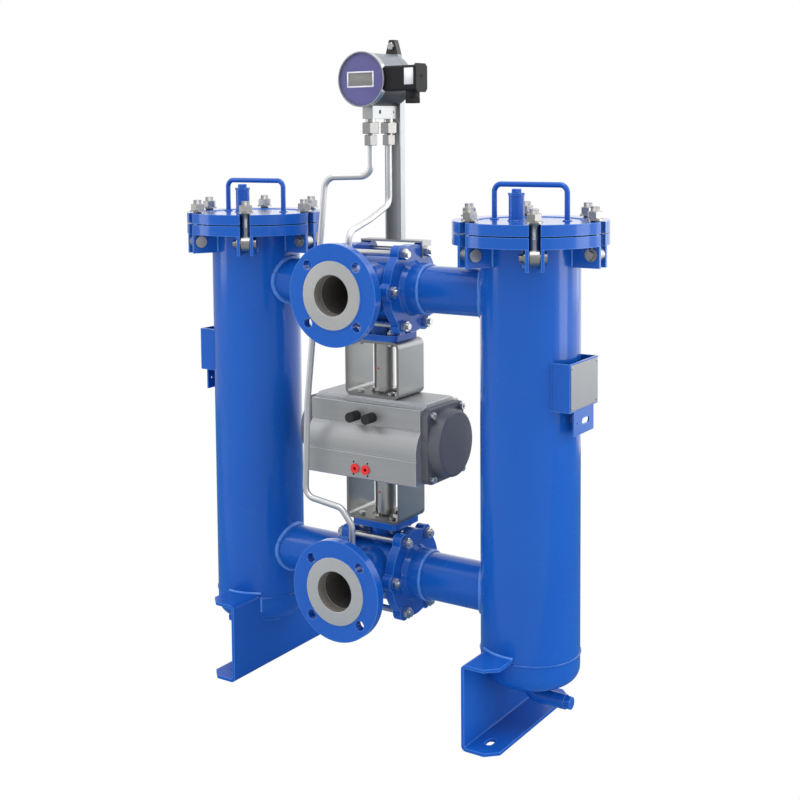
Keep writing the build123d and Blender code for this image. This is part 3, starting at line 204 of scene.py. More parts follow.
def finished_piece(name, mesh_data, finish, body):
    """Turns a bmesh into a piece that rides on a body."""
    data = bpy.data.meshes.new(name)
    bmesh.ops.recalc_face_normals(mesh_data, faces=mesh_data.faces)
    mesh_data.to_mesh(data)
    mesh_data.free()
    piece = bpy.data.objects.new(name, data)
    bpy.context.scene.collection.objects.link(piece)
    data.materials.append(finish.material)
    for face in data.polygons:
        face.use_smooth = True
    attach(piece, body)


def add_tube(mesh_data, points, radius, closed=False, sides=8, ripple=0.0):
    """Sweeps a round section along points; ripple swells it like the scales of a weld."""
    count = len(points)
    rings = []
    for i, point in enumerate(points):
        before = points[(i - 1) % count] if closed or i else points[0]
        after = points[(i + 1) % count] if closed or i < count - 1 else points[-1]
        along = (Vector(after) - Vector(before)).normalized()
        helper = Vector((0, 0, 1)) if abs(along.z) < 0.9 else Vector((1, 0, 0))
        side = along.cross(helper).normalized()
        up = side.cross(along)
        swell = radius * (1 + ripple * (1 if i % 2 else -1))
        rings.append([
            mesh_data.verts.new(
                Vector(point) + swell * (cos(2 * pi * k / sides) * side + sin(2 * pi * k / sides) * up)
            )
            for k in range(sides)
        ])
    last = count if closed else count - 1
    for i in range(last):
        first, second = rings[i], rings[(i + 1) % count]
        for k in range(sides):
            n = (k + 1) % sides
            mesh_data.faces.new((first[k], first[n], second[n], second[k]))
    if not closed:
        mesh_data.faces.new(list(reversed(rings[0])))
        mesh_data.faces.new(rings[-1])


def circle(centre, radius, z, start=0.0, end=360.0, step=weld_step):
    """Points round a level circle or arc."""
    sweep_angle = radians(end - start)
    count = max(8, int(abs(sweep_angle) * radius / step))
    whole = abs(end - start) >= 360
    steps = count if whole else count + 1
    return [
        (
            centre[0] + radius * cos(radians(start) + sweep_angle * i / count),
            centre[1] + radius * sin(radians(start) + sweep_angle * i / count),
            z,
        )
        for i in range(steps)
    ]


def saddle(side, axis_z):
    """Where a branch pipe meets the round of a vessel."""
    points = []
    for i in range(seam_points):
        turn = 2 * pi * i / seam_points
        y = seam_radius * cos(turn)
        z = axis_z + seam_radius * sin(turn)
        points.append((side * (vessel_x - sqrt(vessel_radius**2 - y**2)), y, z))
    return points


def upright(x, y, low, high):
    """Points up a vertical line."""
    count = int((high - low) / weld_step)
    return [(x, y, low + (high - low) * i / count) for i in range(count + 1)]


dress(["vessel_left", "vessel_right", "closure_flanges", "bolt_ears"], blue_coat)
foot_edge_x = 0.055
foot_outer_x = 0.011
foot_top_z = 0.156
web_bead_low_z = 0.118
web_bead_high_z = foot_top_z - 0.008
for name, side in (("left", -1), ("right", 1)):
    beads = bmesh.new()
    centre = (side * vessel_x, 0.0)
    head_bead = bmesh.new()
    add_tube(head_bead, circle(centre, vessel_radius, head_seam_z), 0.0019, True, ripple=0.06)
    finished_piece(f"head_seam_{name}", head_bead, blue_coat, "frame")
    add_tube(beads, circle(centre, shell_bead_radius, flange_underside_z - 0.001), 0.003, True,
             ripple=0.06)
    for axis_z in (upper_axis_z, lower_axis_z):
        add_tube(beads, saddle(side, axis_z), 0.005, True, ripple=0.1)
    for face in (1, -1):
        reach = 180 / pi * acos(foot_edge_x / vessel_radius)
        inner = face * (180 - reach) if side > 0 else face * reach
        outer = 180 / pi * acos(foot_outer_x / vessel_radius)
        outer = face * outer if side > 0 else face * (180 - outer)
        add_tube(beads, circle(centre, shell_bead_radius, foot_top_z, outer, inner), 0.003,
                 ripple=0.07)
        x = side * (vessel_x - foot_edge_x)
        y = face * sqrt(vessel_radius**2 - foot_edge_x**2)
        add_tube(beads, upright(x, y, web_bead_low_z, web_bead_high_z), 0.0028, ripple=0.07)
    finished_piece(f"vessel_welds_{name}", beads, bead_highlight_coat, "frame")


# Drains: a pipe elbow welded under each head and shut by a hexagon plug, both under the same
# paint. The seam at the head stands proud as a rippled bead.
dress(["drain_elbows", "drain_plugs"], blue_coat)
drain_radius = 0.0135
drain_seam_z = 0.0775
for name, side in (("left", -1), ("right", 1)):
    bead = bmesh.new()
    add_tube(bead, circle((side * vessel_x, 0.0), drain_radius + 0.001, drain_seam_z), 0.0026,
             True, ripple=0.07)
    finished_piece(f"drain_weld_{name}", bead, bead_highlight_coat, "frame")


# Nameplate brackets: folded sheet under the blue paint, each with a blank stamped plate of
# matt stainless steel that is held by four rivets.
def brushed(name, colour, rough, stretch, **constants):
    """Bright metal with fine lines drawn out along one direction."""
    metal = Finish(name, metallic=1.0, **constants)
    lines = metal.noise(420.0, 4.0, stretch)
    cloud = metal.noise(14.0, 3.0)
    dull = tuple(0.72 * c for c in colour[:3]) + (1.0,)
    metal.feed(
        base_color=metal.blend(0.45 * lines + 0.45 * cloud, dull, colour),
        roughness=rough - 0.08 + 0.16 * lines,
    )
    metal.relief(lines, 0.00003, 0.0006)
    return metal


dress(["nameplate_brackets"], blue_coat)
plate_steel = brushed("plate_steel", (0.51, 0.51, 0.51, 1.0), 0.42, (1.0, 1.0, 0.06))
dress(["nameplates"], plate_steel)
bracket_x = 0.419
bracket_half_y = 0.0575
bracket_low_z = 0.6
bracket_high_z = 0.685
plate_half_y = 0.055
plate_half_z = 0.04
plate_z = 0.6425
rivet_radius = 0.0022
rivet_height = 0.0012
rivet_inset = 0.005


def add_dome(mesh_data, centre, axis, radius, height, sides=16, rings=5):
    """A low round head, flat side down at the centre, bulging along the axis."""
    axis = Vector(axis)
    helper = Vector((0, 0, 1)) if abs(axis.z) < 0.9 else Vector((1, 0, 0))
    side = axis.cross(helper).normalized()
    up = axis.cross(side)
    layers = []
    for i in range(rings):
        lift = pi / 2 * i / rings
        layers.append([
            mesh_data.verts.new(
                Vector(centre) + axis * height * sin(lift)
                + radius * cos(lift) * (cos(2 * pi * k / sides) * side + sin(2 * pi * k / sides) * up)
            )
            for k in range(sides)
        ])
    top = mesh_data.verts.new(Vector(centre) + axis * height)
    for low, high in zip(layers, layers[1:]):
        for k in range(sides):
            n = (k + 1) % sides
            mesh_data.faces.new((low[k], low[n], high[n], high[k]))
    for k in range(sides):
        mesh_data.faces.new((layers[-1][k], layers[-1][(k + 1) % sides], top))
    mesh_data.faces.new(list(reversed(layers[0])))


for name, side in (("left", -1), ("right", 1)):
    rivets = bmesh.new()
    for y in (-plate_half_y + rivet_inset, plate_half_y - rivet_inset):
        for z in (plate_z - plate_half_z + rivet_inset, plate_z + plate_half_z - rivet_inset):
            add_dome(rivets, (side * bracket_x, y, z), (side, 0, 0), rivet_radius, rivet_height)
    finished_piece(f"nameplate_rivets_{name}", rivets, plate_steel, "frame")
    beads = bmesh.new()
    meet_x = side * (vessel_x + sqrt(vessel_radius**2 - bracket_half_y**2))
    for y in (-bracket_half_y, bracket_half_y):
        add_tube(beads, upright(meet_x, y, bracket_low_z + 0.002, bracket_high_z - 0.002), 0.0022,
                 ripple=0.07)
    finished_piece(f"bracket_welds_{name}", beads, blue_coat, "frame")


# Baskets and gaskets: stainless cage with a lifting bail inside each vessel, and a black
# rubber ring between the flange and the lid.
basket_steel = brushed("basket_steel", (0.65, 0.65, 0.66, 1.0), 0.36, (1.0, 1.0, 0.1))
dress(["basket_left", "basket_right"], basket_steel)
gasket_rubber = Finish("gasket_rubber")
grain = gasket_rubber.noise(700.0, 3.0)
gasket_rubber.feed(
    base_color=gasket_rubber.blend(grain, (0.008, 0.008, 0.009, 1.0), (0.018, 0.018, 0.02, 1.0)),
    roughness=0.6 + 0.2 * grain,
)
gasket_rubber.relief(grain, 0.00008, 0.0004)
dress(["lid_gaskets"], gasket_rubber)


# Lids: slotted steel discs, with a bent bar handle and a vent socket welded on top and a
# hexagon plug in the socket, everything painted together.
dress(["lid_left", "lid_right", "lid_handles", "vent_plugs"], blue_coat)
lid_face_z = 0.9265
lid_bead_z = lid_face_z + 0.0004
handle_reach = 0.072
handle_rod = 0.005
vent_x = -0.017
vent_y = -0.02
vent_radius = 0.013
for name, side in (("left", -1), ("right", 1)):
    beads = bmesh.new()
    x = side * vessel_x
    for reach in (-handle_reach, handle_reach):
        add_tube(beads, circle((x + reach, 0.0), handle_rod + 0.001, lid_bead_z, step=0.0012),
                 0.0024, True, ripple=0.1)
    add_tube(beads, circle((x + vent_x, vent_y), vent_radius + 0.0006, lid_bead_z), 0.0023, True,
             ripple=0.1)
    finished_piece(f"lid_welds_{name}", beads, blue_coat, "frame")


# Swing bolts: stainless eye bolts with a washer and nut, each turning on a plain pin through
# two welded ears. The pins are kept by washers and split pins.
bolt_steel = Finish("bolt_steel", metallic=1.0)
bolt_lines = bolt_steel.noise(240.0, 4.0)
_, _, bolt_height = bolt_steel.axes()
nut_top_z = 0.9465
washer_under_z = 0.9304
thread_start_z = 0.902
thread_pitch = 0.002
threaded = (bolt_height > nut_top_z) + (bolt_height > thread_start_z) * (bolt_height < washer_under_z)
thread_wave = bolt_steel.maths("PINGPONG", bolt_height / thread_pitch, 0.5) * threaded
bolt_steel.feed(
    base_color=bolt_steel.blend(bolt_lines, (0.36, 0.355, 0.345, 1.0), (0.6, 0.59, 0.575, 1.0)),
    roughness=0.24 + 0.2 * bolt_lines,
)
bolt_steel.relief(thread_wave + 0.04 * bolt_lines, 0.0011, 0.0007)
swing_bolts = [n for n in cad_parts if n.startswith("swing_bolt")]
dress(swing_bolts, bolt_steel)
pin_steel = brushed("pin_steel", (0.58, 0.56, 0.52, 1.0), 0.3, (1.0, 1.0, 1.0))
dress(["hinge_pins"], pin_steel)
closure_bolts = 6
first_bolt_angle = 30.0
bolt_circle = 0.1245
pin_z = 0.871
pin_tip = 0.0195
split_pin_radius = 0.0011
loop_radius = 0.0032
loop_rise = 0.0125
leg_top = 0.0095
leg_bend = 0.0085
leg_end = 0.0105
leg_spread = 0.004
ear_bead_reach = 0.0165
ear_bead_low_z = 0.85
ear_bead_high_z = 0.884
split_pins = bmesh.new()
ear_beads = bmesh.new()
for side in (-1, 1):
    for index in range(closure_bolts):
        turn = radians(first_bolt_angle + index * 360 / closure_bolts - 90)
        out = Vector((cos(turn), sin(turn), 0))
        across = Vector((-sin(turn), cos(turn), 0))
        pin = Vector((side * vessel_x, 0, pin_z)) + out * bolt_circle - across * pin_tip
        loop = []
        for k in range(13):
            angle = radians(30 + 300 * k / 12)
            loop.append(pin + loop_radius * (cos(angle) * Vector((0, 0, 1)) + sin(angle) * out)
                        + Vector((0, 0, loop_rise)))
        legs = [pin + Vector((0, 0, leg_top)), pin - Vector((0, 0, leg_bend)),
                pin - Vector((0, 0, leg_end)) - leg_spread * across]
        add_tube(split_pins, loop, split_pin_radius)
        add_tube(split_pins, legs, split_pin_radius * 1.3)
        for face in (-ear_bead_reach, ear_bead_reach):
            depth = sqrt(vessel_radius**2 - face**2)
            foot = Vector((side * vessel_x, 0, 0)) + out * depth + across * face
            add_tube(ear_beads, upright(foot.x, foot.y, ear_bead_low_z, ear_bead_high_z), 0.0021,
                     ripple=0.08)
finished_piece("split_pins", split_pins, pin_steel, "frame")
finished_piece("ear_welds", ear_beads, bead_highlight_coat, "frame")


# Branch pipes and valve end caps: standard 3 inch pipe butt-welded to each cap's neck. The
# seams are left as welded and painted over.
dress(["branch_pipes", "valve_end_caps"], blue_coat)
neck_end_x = 0.102
seams = bmesh.new()
for side in (-1, 1):
    for axis_z in (upper_axis_z, lower_axis_z):
        ring = [
            (side * neck_end_x, seam_radius * cos(2 * pi * k / seam_points),
             axis_z + seam_radius * sin(2 * pi * k / seam_points))
            for k in range(seam_points)
        ]
        add_tube(seams, ring, 0.0034, True, ripple=0.07)
finished_piece("pipe_seams", seams, bead_highlight_coat, "frame")


# Valve bodies: cast steel under the blue paint. The raised faces are left bare with fine turned
# grooves, the lower face lighter by painted light. The bores behind them are bare, lighter at
# the mouth and darker deeper in as painted light and shade.
cast_coat = Finish("cast_coat", ior=1.2, coat_roughness=0.13, coat_ior=1.38)
cast_tone, cast_sheen, cast_peel = paint_over(cast_coat)
x, y, z = cast_coat.axes()
axis_z = lower_axis_z + (upper_axis_z - lower_axis_z) * (z > (upper_axis_z + lower_axis_z) / 2)
rise = z - axis_z
off_axis = cast_coat.maths("SQRT", x * x + rise * rise)
raised_face_y = -0.1746
raised_radius = 0.0633
bore_radius = 0.0384
bore_end_y = -0.028
cavity_radius = 0.0568
mouth_depth = 0.022
groove_pitch = 0.0012
on_face = (y < raised_face_y) * (off_axis < raised_radius)
in_bore = (off_axis < bore_radius) * (y < bore_end_y)
inside = cast_coat.maths("SQRT", x * x + y * y + rise * rise) < cavity_radius
bare = cast_coat.maths("MAXIMUM", cast_coat.maths("MAXIMUM", on_face, in_bore), inside)
scratches = cast_coat.noise(420.0, 3.0)
groove = cast_coat.maths("PINGPONG", off_axis / groove_pitch, 0.5)
# Painted light: the lower raised face is the same metal as the upper, coloured brighter.
upper_face = cast_coat.blend(scratches, (0.64, 0.63, 0.62, 1.0), (0.8, 0.79, 0.78, 1.0))
lower_face_painted_light = cast_coat.blend(scratches, (0.86, 0.85, 0.83, 1.0), (1.0, 0.99, 0.97, 1.0))
face_metal = cast_coat.blend(z < (upper_axis_z + lower_axis_z) / 2, upper_face, lower_face_painted_light)
# Painted light and shade in the bores: a lighter ring at the mouth, darker deeper in.
bore_mouth_painted_light = cast_coat.blend(scratches, (0.2, 0.185, 0.17, 1.0), (0.32, 0.3, 0.28, 1.0))
bore_deep_painted_shade = cast_coat.blend(scratches, (0.09, 0.085, 0.08, 1.0), (0.18, 0.17, 0.165, 1.0))
bore_painted_shading = cast_coat.blend(y < raised_face_y + mouth_depth, bore_deep_painted_shade, bore_mouth_painted_light)
bare_metal = cast_coat.blend(on_face, bore_painted_shading, face_metal)
cast_coat.feed(
    base_color=cast_coat.blend(bare, cast_tone, bare_metal),
    metallic=bare * (0.25 + 0.75 * on_face),
    roughness=cast_sheen * (1 - bare) + bare * (0.34 + 0.2 * scratches),
    coat_weight=1 - bare,
)
cast_grit = cast_coat.noise(60.0, 6.0)
cast_coat.relief(
    (cast_peel + 1.6 * cast_grit) * (1 - bare) + bare * on_face * 0.6 * groove, 0.00016, 0.0018
)
dress(["valve_body_upper", "valve_body_lower"], cast_coat)


# Balls, seats, stems and glands inside the valves, and the couplings between the stems and
# the drive: turned stainless steel and white seat rings.
turned_steel = brushed("turned_steel", (0.76, 0.745, 0.72, 1.0), 0.3, (1.0, 1.0, 14.0))
dress(["valve_stems", "stem_glands", "stem_couplings", "drive_pinion"], turned_steel)
ball_polish = brushed("ball_polish", (0.4, 0.4, 0.4, 1.0), 0.16, (1.0, 1.0, 1.0))
dress(["balls"], ball_polish)
seat_plastic = Finish("seat_plastic", roughness=0.45)
seat_cloud = seat_plastic.noise(60.0)
seat_plastic.feed(
    base_color=seat_plastic.blend(seat_cloud, (0.42, 0.42, 0.4, 1.0), (0.6, 0.6, 0.58, 1.0))
)
seat_plastic.relief(seat_plastic.noise(500.0), 0.00003, 0.0005)
dress(["ball_seats"], seat_plastic)
mark_red = Finish("mark_red", roughness=0.4)
speck = mark_red.noise(900.0)
mark_red.feed(base_color=mark_red.blend(speck, (0.6, 0.01, 0.01, 1.0), (0.8, 0.03, 0.02, 1.0)))
coupling_radius = 0.02
dot_radius = 0.0022
dot_height = 0.0009
dot_turn = radians(-92)
for name, z in (("upper", 0.634), ("lower", 0.392)):
    dot = bmesh.new()
    out = Vector((cos(dot_turn), sin(dot_turn), 0))
    dot_place = out * (coupling_radius - 0.0002) + Vector((0, 0, z))
    add_dome(dot, dot_place, out, dot_radius, dot_height)
    finished_piece(f"position_dot_{name}", dot, mark_red, "valve_shaft")


# Tie bolts: zinc-plated rods and nuts that clamp each valve's end caps on its body, and the
# hexagon screws of the yokes and the gauge's lug.
tie_steel = Finish("tie_steel", metallic=1.0)
tie_lines = tie_steel.noise(240.0, 4.0)
tie_x, _, _ = tie_steel.axes()
tie_pitch = 0.00175
tie_nut_face_x = 0.0782
beyond_nut = tie_steel.maths("ABSOLUTE", tie_x) > tie_nut_face_x
tie_thread = tie_steel.maths("PINGPONG", tie_x / tie_pitch, 0.5) * beyond_nut
tie_steel.feed(
    base_color=tie_steel.blend(tie_lines, (0.6, 0.59, 0.57, 1.0), (0.88, 0.87, 0.85, 1.0)),
    roughness=0.2 + 0.22 * tie_lines,
)
tie_steel.relief(tie_thread + 0.04 * tie_lines, 0.001, 0.0007)
dress(["tie_bolts"], tie_steel)
screw_steel = brushed("screw_steel", (0.9, 0.9, 0.88, 1.0), 0.26, (1.0, 1.0, 1.0))
dress(["hexagon_screws", "cap_screws"], screw_steel)


# Yokes: satin stainless sheet folded into a box round each coupling, open at the front and
# the back.
yoke_steel = brushed("yoke_steel", (0.44, 0.437, 0.428, 1.0), 0.4, (1.0, 0.08, 1.0))
dress(["yokes"], yoke_steel)


# Actuator: hard-anodised aluminium extrusion with graphite-coated cast end caps, black
# exhaust silencers, red transit plugs, and the pistons inside.
anodised = Finish("anodised", metallic=0.75)
draw = anodised.noise(260.0, 4.0, (0.03, 1.0, 1.0))
haze = anodised.noise(8.0, 3.0)
drawn = anodised.blend(
    0.5 * draw + 0.5 * haze, (0.4, 0.405, 0.41, 1.0), (0.54, 0.545, 0.55, 1.0)
)
# Painted highlight: the extrusion's edges are blended towards white.
anodised.feed(
    base_color=anodised.blend(anodised.edges(0.002), drawn, (0.95, 0.95, 0.95, 1.0)),
    roughness=0.36 + 0.14 * draw,
)
anodised.relief(draw, 0.00005, 0.0009)
dress(["actuator_body"], anodised)
graphite = Finish("graphite", metallic=0.25)
grit = graphite.noise(520.0, 3.0)
graphite.feed(
    base_color=graphite.blend(grit, (0.088, 0.091, 0.113, 1.0), (0.135, 0.139, 0.166, 1.0)),
    roughness=0.38 + 0.16 * grit,
)
graphite.relief(grit, 0.00012, 0.0014)
dress(["actuator_end_caps"], graphite)
sintered = Finish("sintered", roughness=0.75)
pores = sintered.noise(1400.0, 2.0)
sintered.feed(base_color=sintered.blend(pores, (0.006, 0.006, 0.006, 1.0), (0.03, 0.03, 0.03, 1.0)))
sintered.relief(pores, 0.0003, 0.0008)
dress(["silencers"], sintered)
transit_red = Finish("transit_red", coat_weight=0.2)
red_cloud = transit_red.noise(200.0)
transit_red.feed(
    base_color=transit_red.blend(red_cloud, (0.62, 0.012, 0.015, 1.0), (0.8, 0.03, 0.025, 1.0)),
    roughness=0.3 + 0.15 * red_cloud,
)
transit_red.relief(red_cloud, 0.00005, 0.0008)
dress(["port_plugs"], transit_red)
piston_metal = brushed("piston_metal", (0.5, 0.5, 0.5, 1.0), 0.35, (1.0, 1.0, 1.0))
dress(["piston_left", "piston_right"], piston_metal)


# Post, manifold, fittings and tubes: zinc-plated channel that carries the gauge, a light
# grey block under it, stainless compression fittings and bent stainless tubes.
post_zinc = brushed("post_zinc", (0.62, 0.62, 0.61, 1.0), 0.46, (1.0, 1.0, 0.08))
dress(["gauge_post"], post_zinc)
block_grey = brushed("block_grey", (0.66, 0.66, 0.65, 1.0), 0.45, (0.1, 1.0, 1.0))
dress(["manifold_block"], block_grey)
fitting_steel = brushed("fitting_steel", (0.66, 0.65, 0.63, 1.0), 0.25, (1.0, 1.0, 6.0))
dress(["tube_fittings"], fitting_steel)
tube_steel = brushed("tube_steel", (0.95, 0.95, 0.95, 1.0), 0.5, (1.0, 1.0, 0.05))
dress(["impulse_tubes"], tube_steel)


# Gauge: silver-painted case, darkened by painted shade on its underside where it carries the
# block, a bright ring, a violet dial with a grey liquid-crystal window in a white frame, and clear
# glass.
case_paint = Finish("case_paint", metallic=0.6)
flake = case_paint.noise(900.0, 2.0)
_, _, case_z = case_paint.axes()
shade_start_z = 1.195
shade_end_z = 1.155
lug_start_z = 1.2345
silver = case_paint.blend(flake, (0.22, 0.24, 0.26, 1.0), (0.32, 0.345, 0.37, 1.0))
# Painted shade: the silver darkens towards the underside of the case.
underside_painted_shade = case_paint.node(
    "ShaderNodeMapRange", {}, {"Value": case_z, "From Min": shade_start_z, "From Max": shade_end_z}
)
lug_ink = case_z > lug_start_z
case_paint.feed(
    base_color=case_paint.blend(
        case_paint.maths("MAXIMUM", underside_painted_shade, lug_ink), silver, (0.055, 0.052, 0.052, 1.0)
    ),
    roughness=0.32 + 0.1 * flake,
)
case_paint.relief(flake, 0.00005, 0.001)
dress(["gauge_housing"], case_paint)
ring_chrome = brushed("ring_chrome", (0.75, 0.75, 0.77, 1.0), 0.18, (1.0, 1.0, 1.0))
dress(["gauge_bezel"], ring_chrome)
dial_ink = Finish("dial_ink", ior=1.25)
ink = dial_ink.noise(30.0, 3.0)
dial_ink.feed(
    base_color=dial_ink.blend(ink, (0.036, 0.033, 0.19, 1.0), (0.056, 0.05, 0.24, 1.0)),
    roughness=0.34 + 0.1 * ink,
)
dial_ink.relief(dial_ink.noise(800.0), 0.00002, 0.0004)
dress(["gauge_dial"], dial_ink)
clear_glass = Finish("clear_glass", roughness=0.03, ior=1.2)
smear = clear_glass.noise(20.0)
clear_glass.feed(
    base_color=clear_glass.blend(smear, (0.9, 0.92, 0.95, 1.0), (1.0, 1.0, 1.0, 1.0)),
    alpha=0.05 + 0.04 * smear,
)
dress(["gauge_glass"], clear_glass)
gauge_z = 1.184
dial_y = -0.067
window_x = -0.004
window_half_x = 0.027
window_half_z = 0.012
rim_width = 0.0028
panel_inset = 0.0008
foil_radius = 0.0488
foil_y = dial_y - 0.0003


def add_slab(mesh_data, low, high):
    """A block between two corners."""
    made = bmesh.ops.create_cube(mesh_data, size=1.0)["verts"]
    middle = (Vector(low) + Vector(high)) / 2
    size = Vector(high) - Vector(low)
    for vert in made:
        vert.co = middle + Vector(tuple(vert.co[i] * size[i] for i in range(3)))


# The foil is the dial's visible face, just in front of where dial and glass meet
foil = bmesh.new()
corners = [(window_half_x, window_half_z), (-window_half_x, window_half_z),
           (-window_half_x, -window_half_z), (window_half_x, -window_half_z)]
for i, (near_x, near_z) in enumerate(corners):
    far_x, far_z = corners[(i + 1) % 4]
    start = 45 + 90 * i
    arc = [(foil_radius * cos(radians(start + 6 * k)), foil_radius * sin(radians(start + 6 * k)))
           for k in range(16)]
    outline = [(window_x + near_x, near_z)] + arc + [(window_x + far_x, far_z)]
    foil.faces.new([foil.verts.new((x, foil_y, gauge_z + z)) for x, z in outline])
bmesh.ops.remove_doubles(foil, verts=foil.verts, dist=0.00001)
finished_piece("dial_foil", foil, dial_ink, "frame")
rim_x = window_half_x + rim_width
rim_z = window_half_z + rim_width
rim_mesh = bmesh.new()
for low_x, high_x, low_z, high_z in (
    (-rim_x, rim_x, window_half_z, rim_z),
    (-rim_x, rim_x, -rim_z, -window_half_z),
    (-rim_x, -window_half_x, -window_half_z, window_half_z),
    (window_half_x, rim_x, -window_half_z, window_half_z),
):
    add_slab(rim_mesh, (window_x + low_x, dial_y - 0.0006, gauge_z + low_z),
             (window_x + high_x, dial_y + 0.001, gauge_z + high_z))
rim_white = Finish("rim_white", roughness=0.4)
rim_cloud = rim_white.noise(50.0)
rim_white.feed(base_color=rim_white.blend(rim_cloud, (0.7, 0.7, 0.78, 1.0), (0.8, 0.8, 0.86, 1.0)))
finished_piece("display_rim", rim_mesh, rim_white, "frame")
panel = bmesh.new()
panel_half_x = window_half_x - panel_inset
panel_half_z = window_half_z - panel_inset
add_slab(panel, (window_x - panel_half_x, dial_y + 0.0006, gauge_z - panel_half_z),
         (window_x + panel_half_x, dial_y + 0.0014, gauge_z + panel_half_z))
liquid = Finish("liquid_grey", ior=1.2)
liquid_cloud = liquid.noise(80.0)
liquid.feed(
    base_color=liquid.blend(liquid_cloud, (0.1, 0.1, 0.082, 1.0), (0.13, 0.13, 0.108, 1.0)),
    roughness=0.3 + 0.1 * liquid_cloud,
)
finished_piece("display_panel", panel, liquid, "frame")


# Connector box and gland: black moulded plastic with a fine spark-eroded grain, a blank
# white label on the front and one screw in the end cover.
moulded = Finish("moulded", ior=1.3)
spark = moulded.noise(1500.0, 2.0)
moulded.feed(
    base_color=moulded.blend(spark, (0.009, 0.009, 0.01, 1.0), (0.018, 0.018, 0.02, 1.0)),
    roughness=0.42 + 0.16 * spark,
)
moulded.relief(spark, 0.0001, 0.0012)
dress(["connector_box", "cable_gland"], moulded)
label_low = (0.0915, -0.0663, 1.172)
label_high = (0.1115, -0.0658, 1.202)
label_mesh = bmesh.new()
add_slab(label_mesh, label_low, label_high)
label_white = Finish("label_white", roughness=0.5)
label_cloud = label_white.noise(120.0)
label_white.feed(
    base_color=label_white.blend(label_cloud, (0.68, 0.7, 0.72, 1.0), (0.76, 0.78, 0.8, 1.0))
)
finished_piece("blank_label", label_mesh, label_white, "frame")
cover_screw_place = (0.1178, -0.048, gauge_z + 0.004)
cover_screw = bmesh.new()
add_dome(cover_screw, cover_screw_place, (1, 0, 0), 0.0034, 0.0012)
# Painted shade: the screw head is coloured near-black for the dark hollow it sits in.
cover_screw_painted_shade = Finish("cover_screw_painted_shade", metallic=0.6)
cover_cloud = cover_screw_painted_shade.noise(700.0)
cover_screw_painted_shade.feed(
    base_color=cover_screw_painted_shade.blend(cover_cloud, (0.006, 0.006, 0.007, 1.0), (0.02, 0.02, 0.022, 1.0)),
    roughness=0.5 + 0.2 * cover_cloud,
)
finished_piece("cover_screw", cover_screw, cover_screw_painted_shade, "frame")


# Floor, light and camera: a white studio floor under soft overhead and side light, seen from
# the front right a little above the lids.
floor_mesh = bmesh.new()
bmesh.ops.create_grid(floor_mesh, x_segments=1, y_segments=1, size=30.0)
floor_data = bpy.data.meshes.new("studio_floor")
floor_mesh.to_mesh(floor_data)
floor_mesh.free()
studio_floor = bpy.data.objects.new("studio_floor", floor_data)
studio_floor.location.z = -0.0005
bpy.context.scene.collection.objects.link(studio_floor)
floor_white = Finish("floor_white", base_color=(0.84, 0.84, 0.84, 1.0), roughness=0.9)
floor_data.materials.append(floor_white.material)
studio_floor.visible_camera = False
studio_floor.visible_glossy = False


def mirror_card(name, corners, brightness, tint=(0.93, 0.97, 1.0, 1.0)):
    """A large grey panel that only reflections see, so that paint and steel keep their depth."""
    panel_mesh = bmesh.new()
    panel_mesh.faces.new([panel_mesh.verts.new(corner) for corner in corners])
    panel_data = bpy.data.meshes.new(name)
    panel_mesh.to_mesh(panel_data)
    panel_mesh.free()
    panel_object = bpy.data.objects.new(name, panel_data)
    bpy.context.scene.collection.objects.link(panel_object)
    grey = Finish(name, base_color=(0.0, 0.0, 0.0, 1.0), roughness=1.0, specular_ior_level=0.0,
                  emission_color=tint, emission_strength=brightness)
    panel_data.materials.append(grey.material)
    panel_object.visible_camera = False
    panel_object.visible_diffuse = False
    panel_object.visible_shadow = False


def level_corners(half_x, near_y, far_y):
    """The corners of a panel that lies just under the floor."""
    z = -0.02
    return (-half_x, near_y, z), (half_x, near_y, z), (half_x, far_y, z), (-half_x, far_y, z)


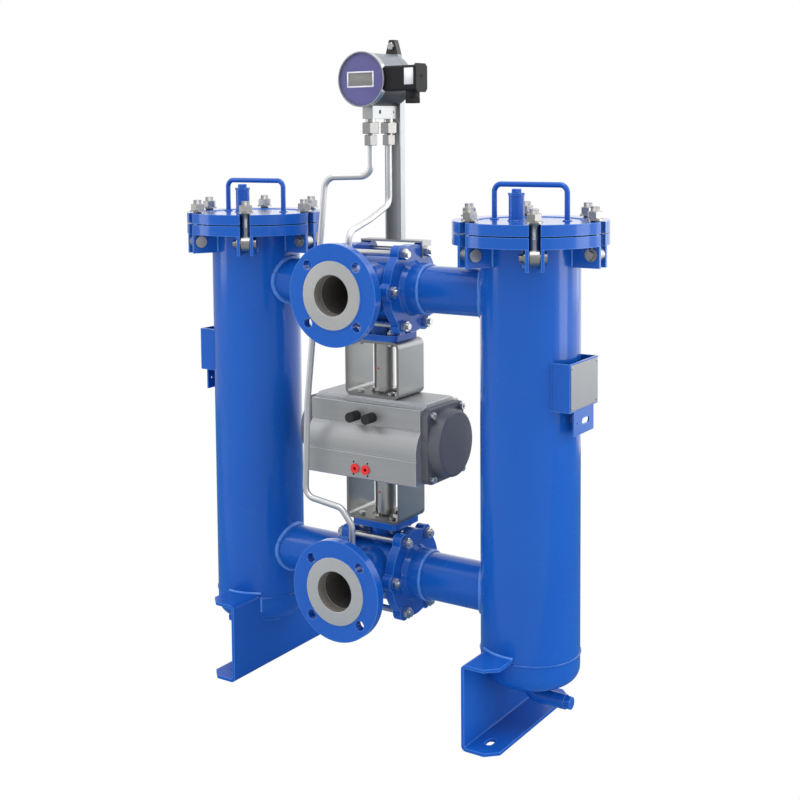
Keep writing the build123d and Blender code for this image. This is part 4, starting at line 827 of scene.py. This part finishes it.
card_join_y = -0.45
mirror_card("front_card", ((-8, -5, -2), (8, -5, -2), (8, -5, 7), (-8, -5, 7)), 0.46)
mirror_card("left_card", ((-6, -5, -2), (-6, 4, -2), (-6, 4, 7), (-6, -5, 7)), 0.38)
mirror_card("floor_card", level_corners(3, card_join_y, 2.2), 0.32, (0.3, 0.6, 1.0, 1.0))
mirror_card("apron_card", level_corners(9, -9, card_join_y), 0.42)
mirror_card("rear_card", ((3.1, 2.8, 0.3), (1.2, 3.9, 0.3), (1.2, 3.9, 4), (3.1, 2.8, 4)), 2.2)

world = bpy.data.worlds.new("studio")
bpy.context.scene.world = world
world.use_nodes = True
world.node_tree.nodes["Background"].inputs["Color"].default_value = (1.0, 1.0, 1.0, 1.0)
world.node_tree.nodes["Background"].inputs["Strength"].default_value = 1.0


def soft_light(name, place, target, size, power):
    """A large square softbox aimed at a point."""
    lamp = bpy.data.lights.new(name, "AREA")
    lamp.shape = "RECTANGLE"
    lamp.size, lamp.size_y = size
    lamp.energy = power
    holder = bpy.data.objects.new(name, lamp)
    holder.location = place
    holder.rotation_euler = (Vector(target) - Vector(place)).to_track_quat("-Z", "Y").to_euler()
    bpy.context.scene.collection.objects.link(holder)


soft_light("overhead_box", (0.4, -0.6, 3.4), (0, 0, 0.6), (2.2, 2.2), 45)
soft_light("left_box", (-2.6, -1.6, 1.6), (0, 0, 0.7), (1.2, 2.4), 20)
soft_light("right_box", (2.4, 0.6, 1.4), (0, 0, 0.7), (1.0, 2.4), 22)

camera_place = Vector((1.3684, -2.0786, 1.0829))
azimuth = radians(34.5)
pitch = radians(4.5)
roll = radians(-0.6)
forward = Vector((-sin(azimuth) * cos(pitch), cos(azimuth) * cos(pitch), -sin(pitch)))
level_right = Vector((cos(azimuth), sin(azimuth), 0))
level_up = level_right.cross(forward)
right = level_right * cos(roll) + level_up * sin(roll)
up = level_up * cos(roll) - level_right * sin(roll)
view = bpy.data.cameras.new("studio_camera")
view.sensor_fit = "HORIZONTAL"
view.sensor_width = 36.0
view.lens = 58.59
view.shift_x = 0.0531
view.shift_y = -0.2044
view.clip_end = 100.0
camera = bpy.data.objects.new("studio_camera", view)
camera.matrix_world = Matrix((
    (right.x, up.x, -forward.x, camera_place.x),
    (right.y, up.y, -forward.y, camera_place.y),
    (right.z, up.z, -forward.z, camera_place.z),
    (0, 0, 0, 1),
))
bpy.context.scene.collection.objects.link(camera)
bpy.context.scene.camera = camera
bpy.context.scene.view_settings.view_transform = "Standard"
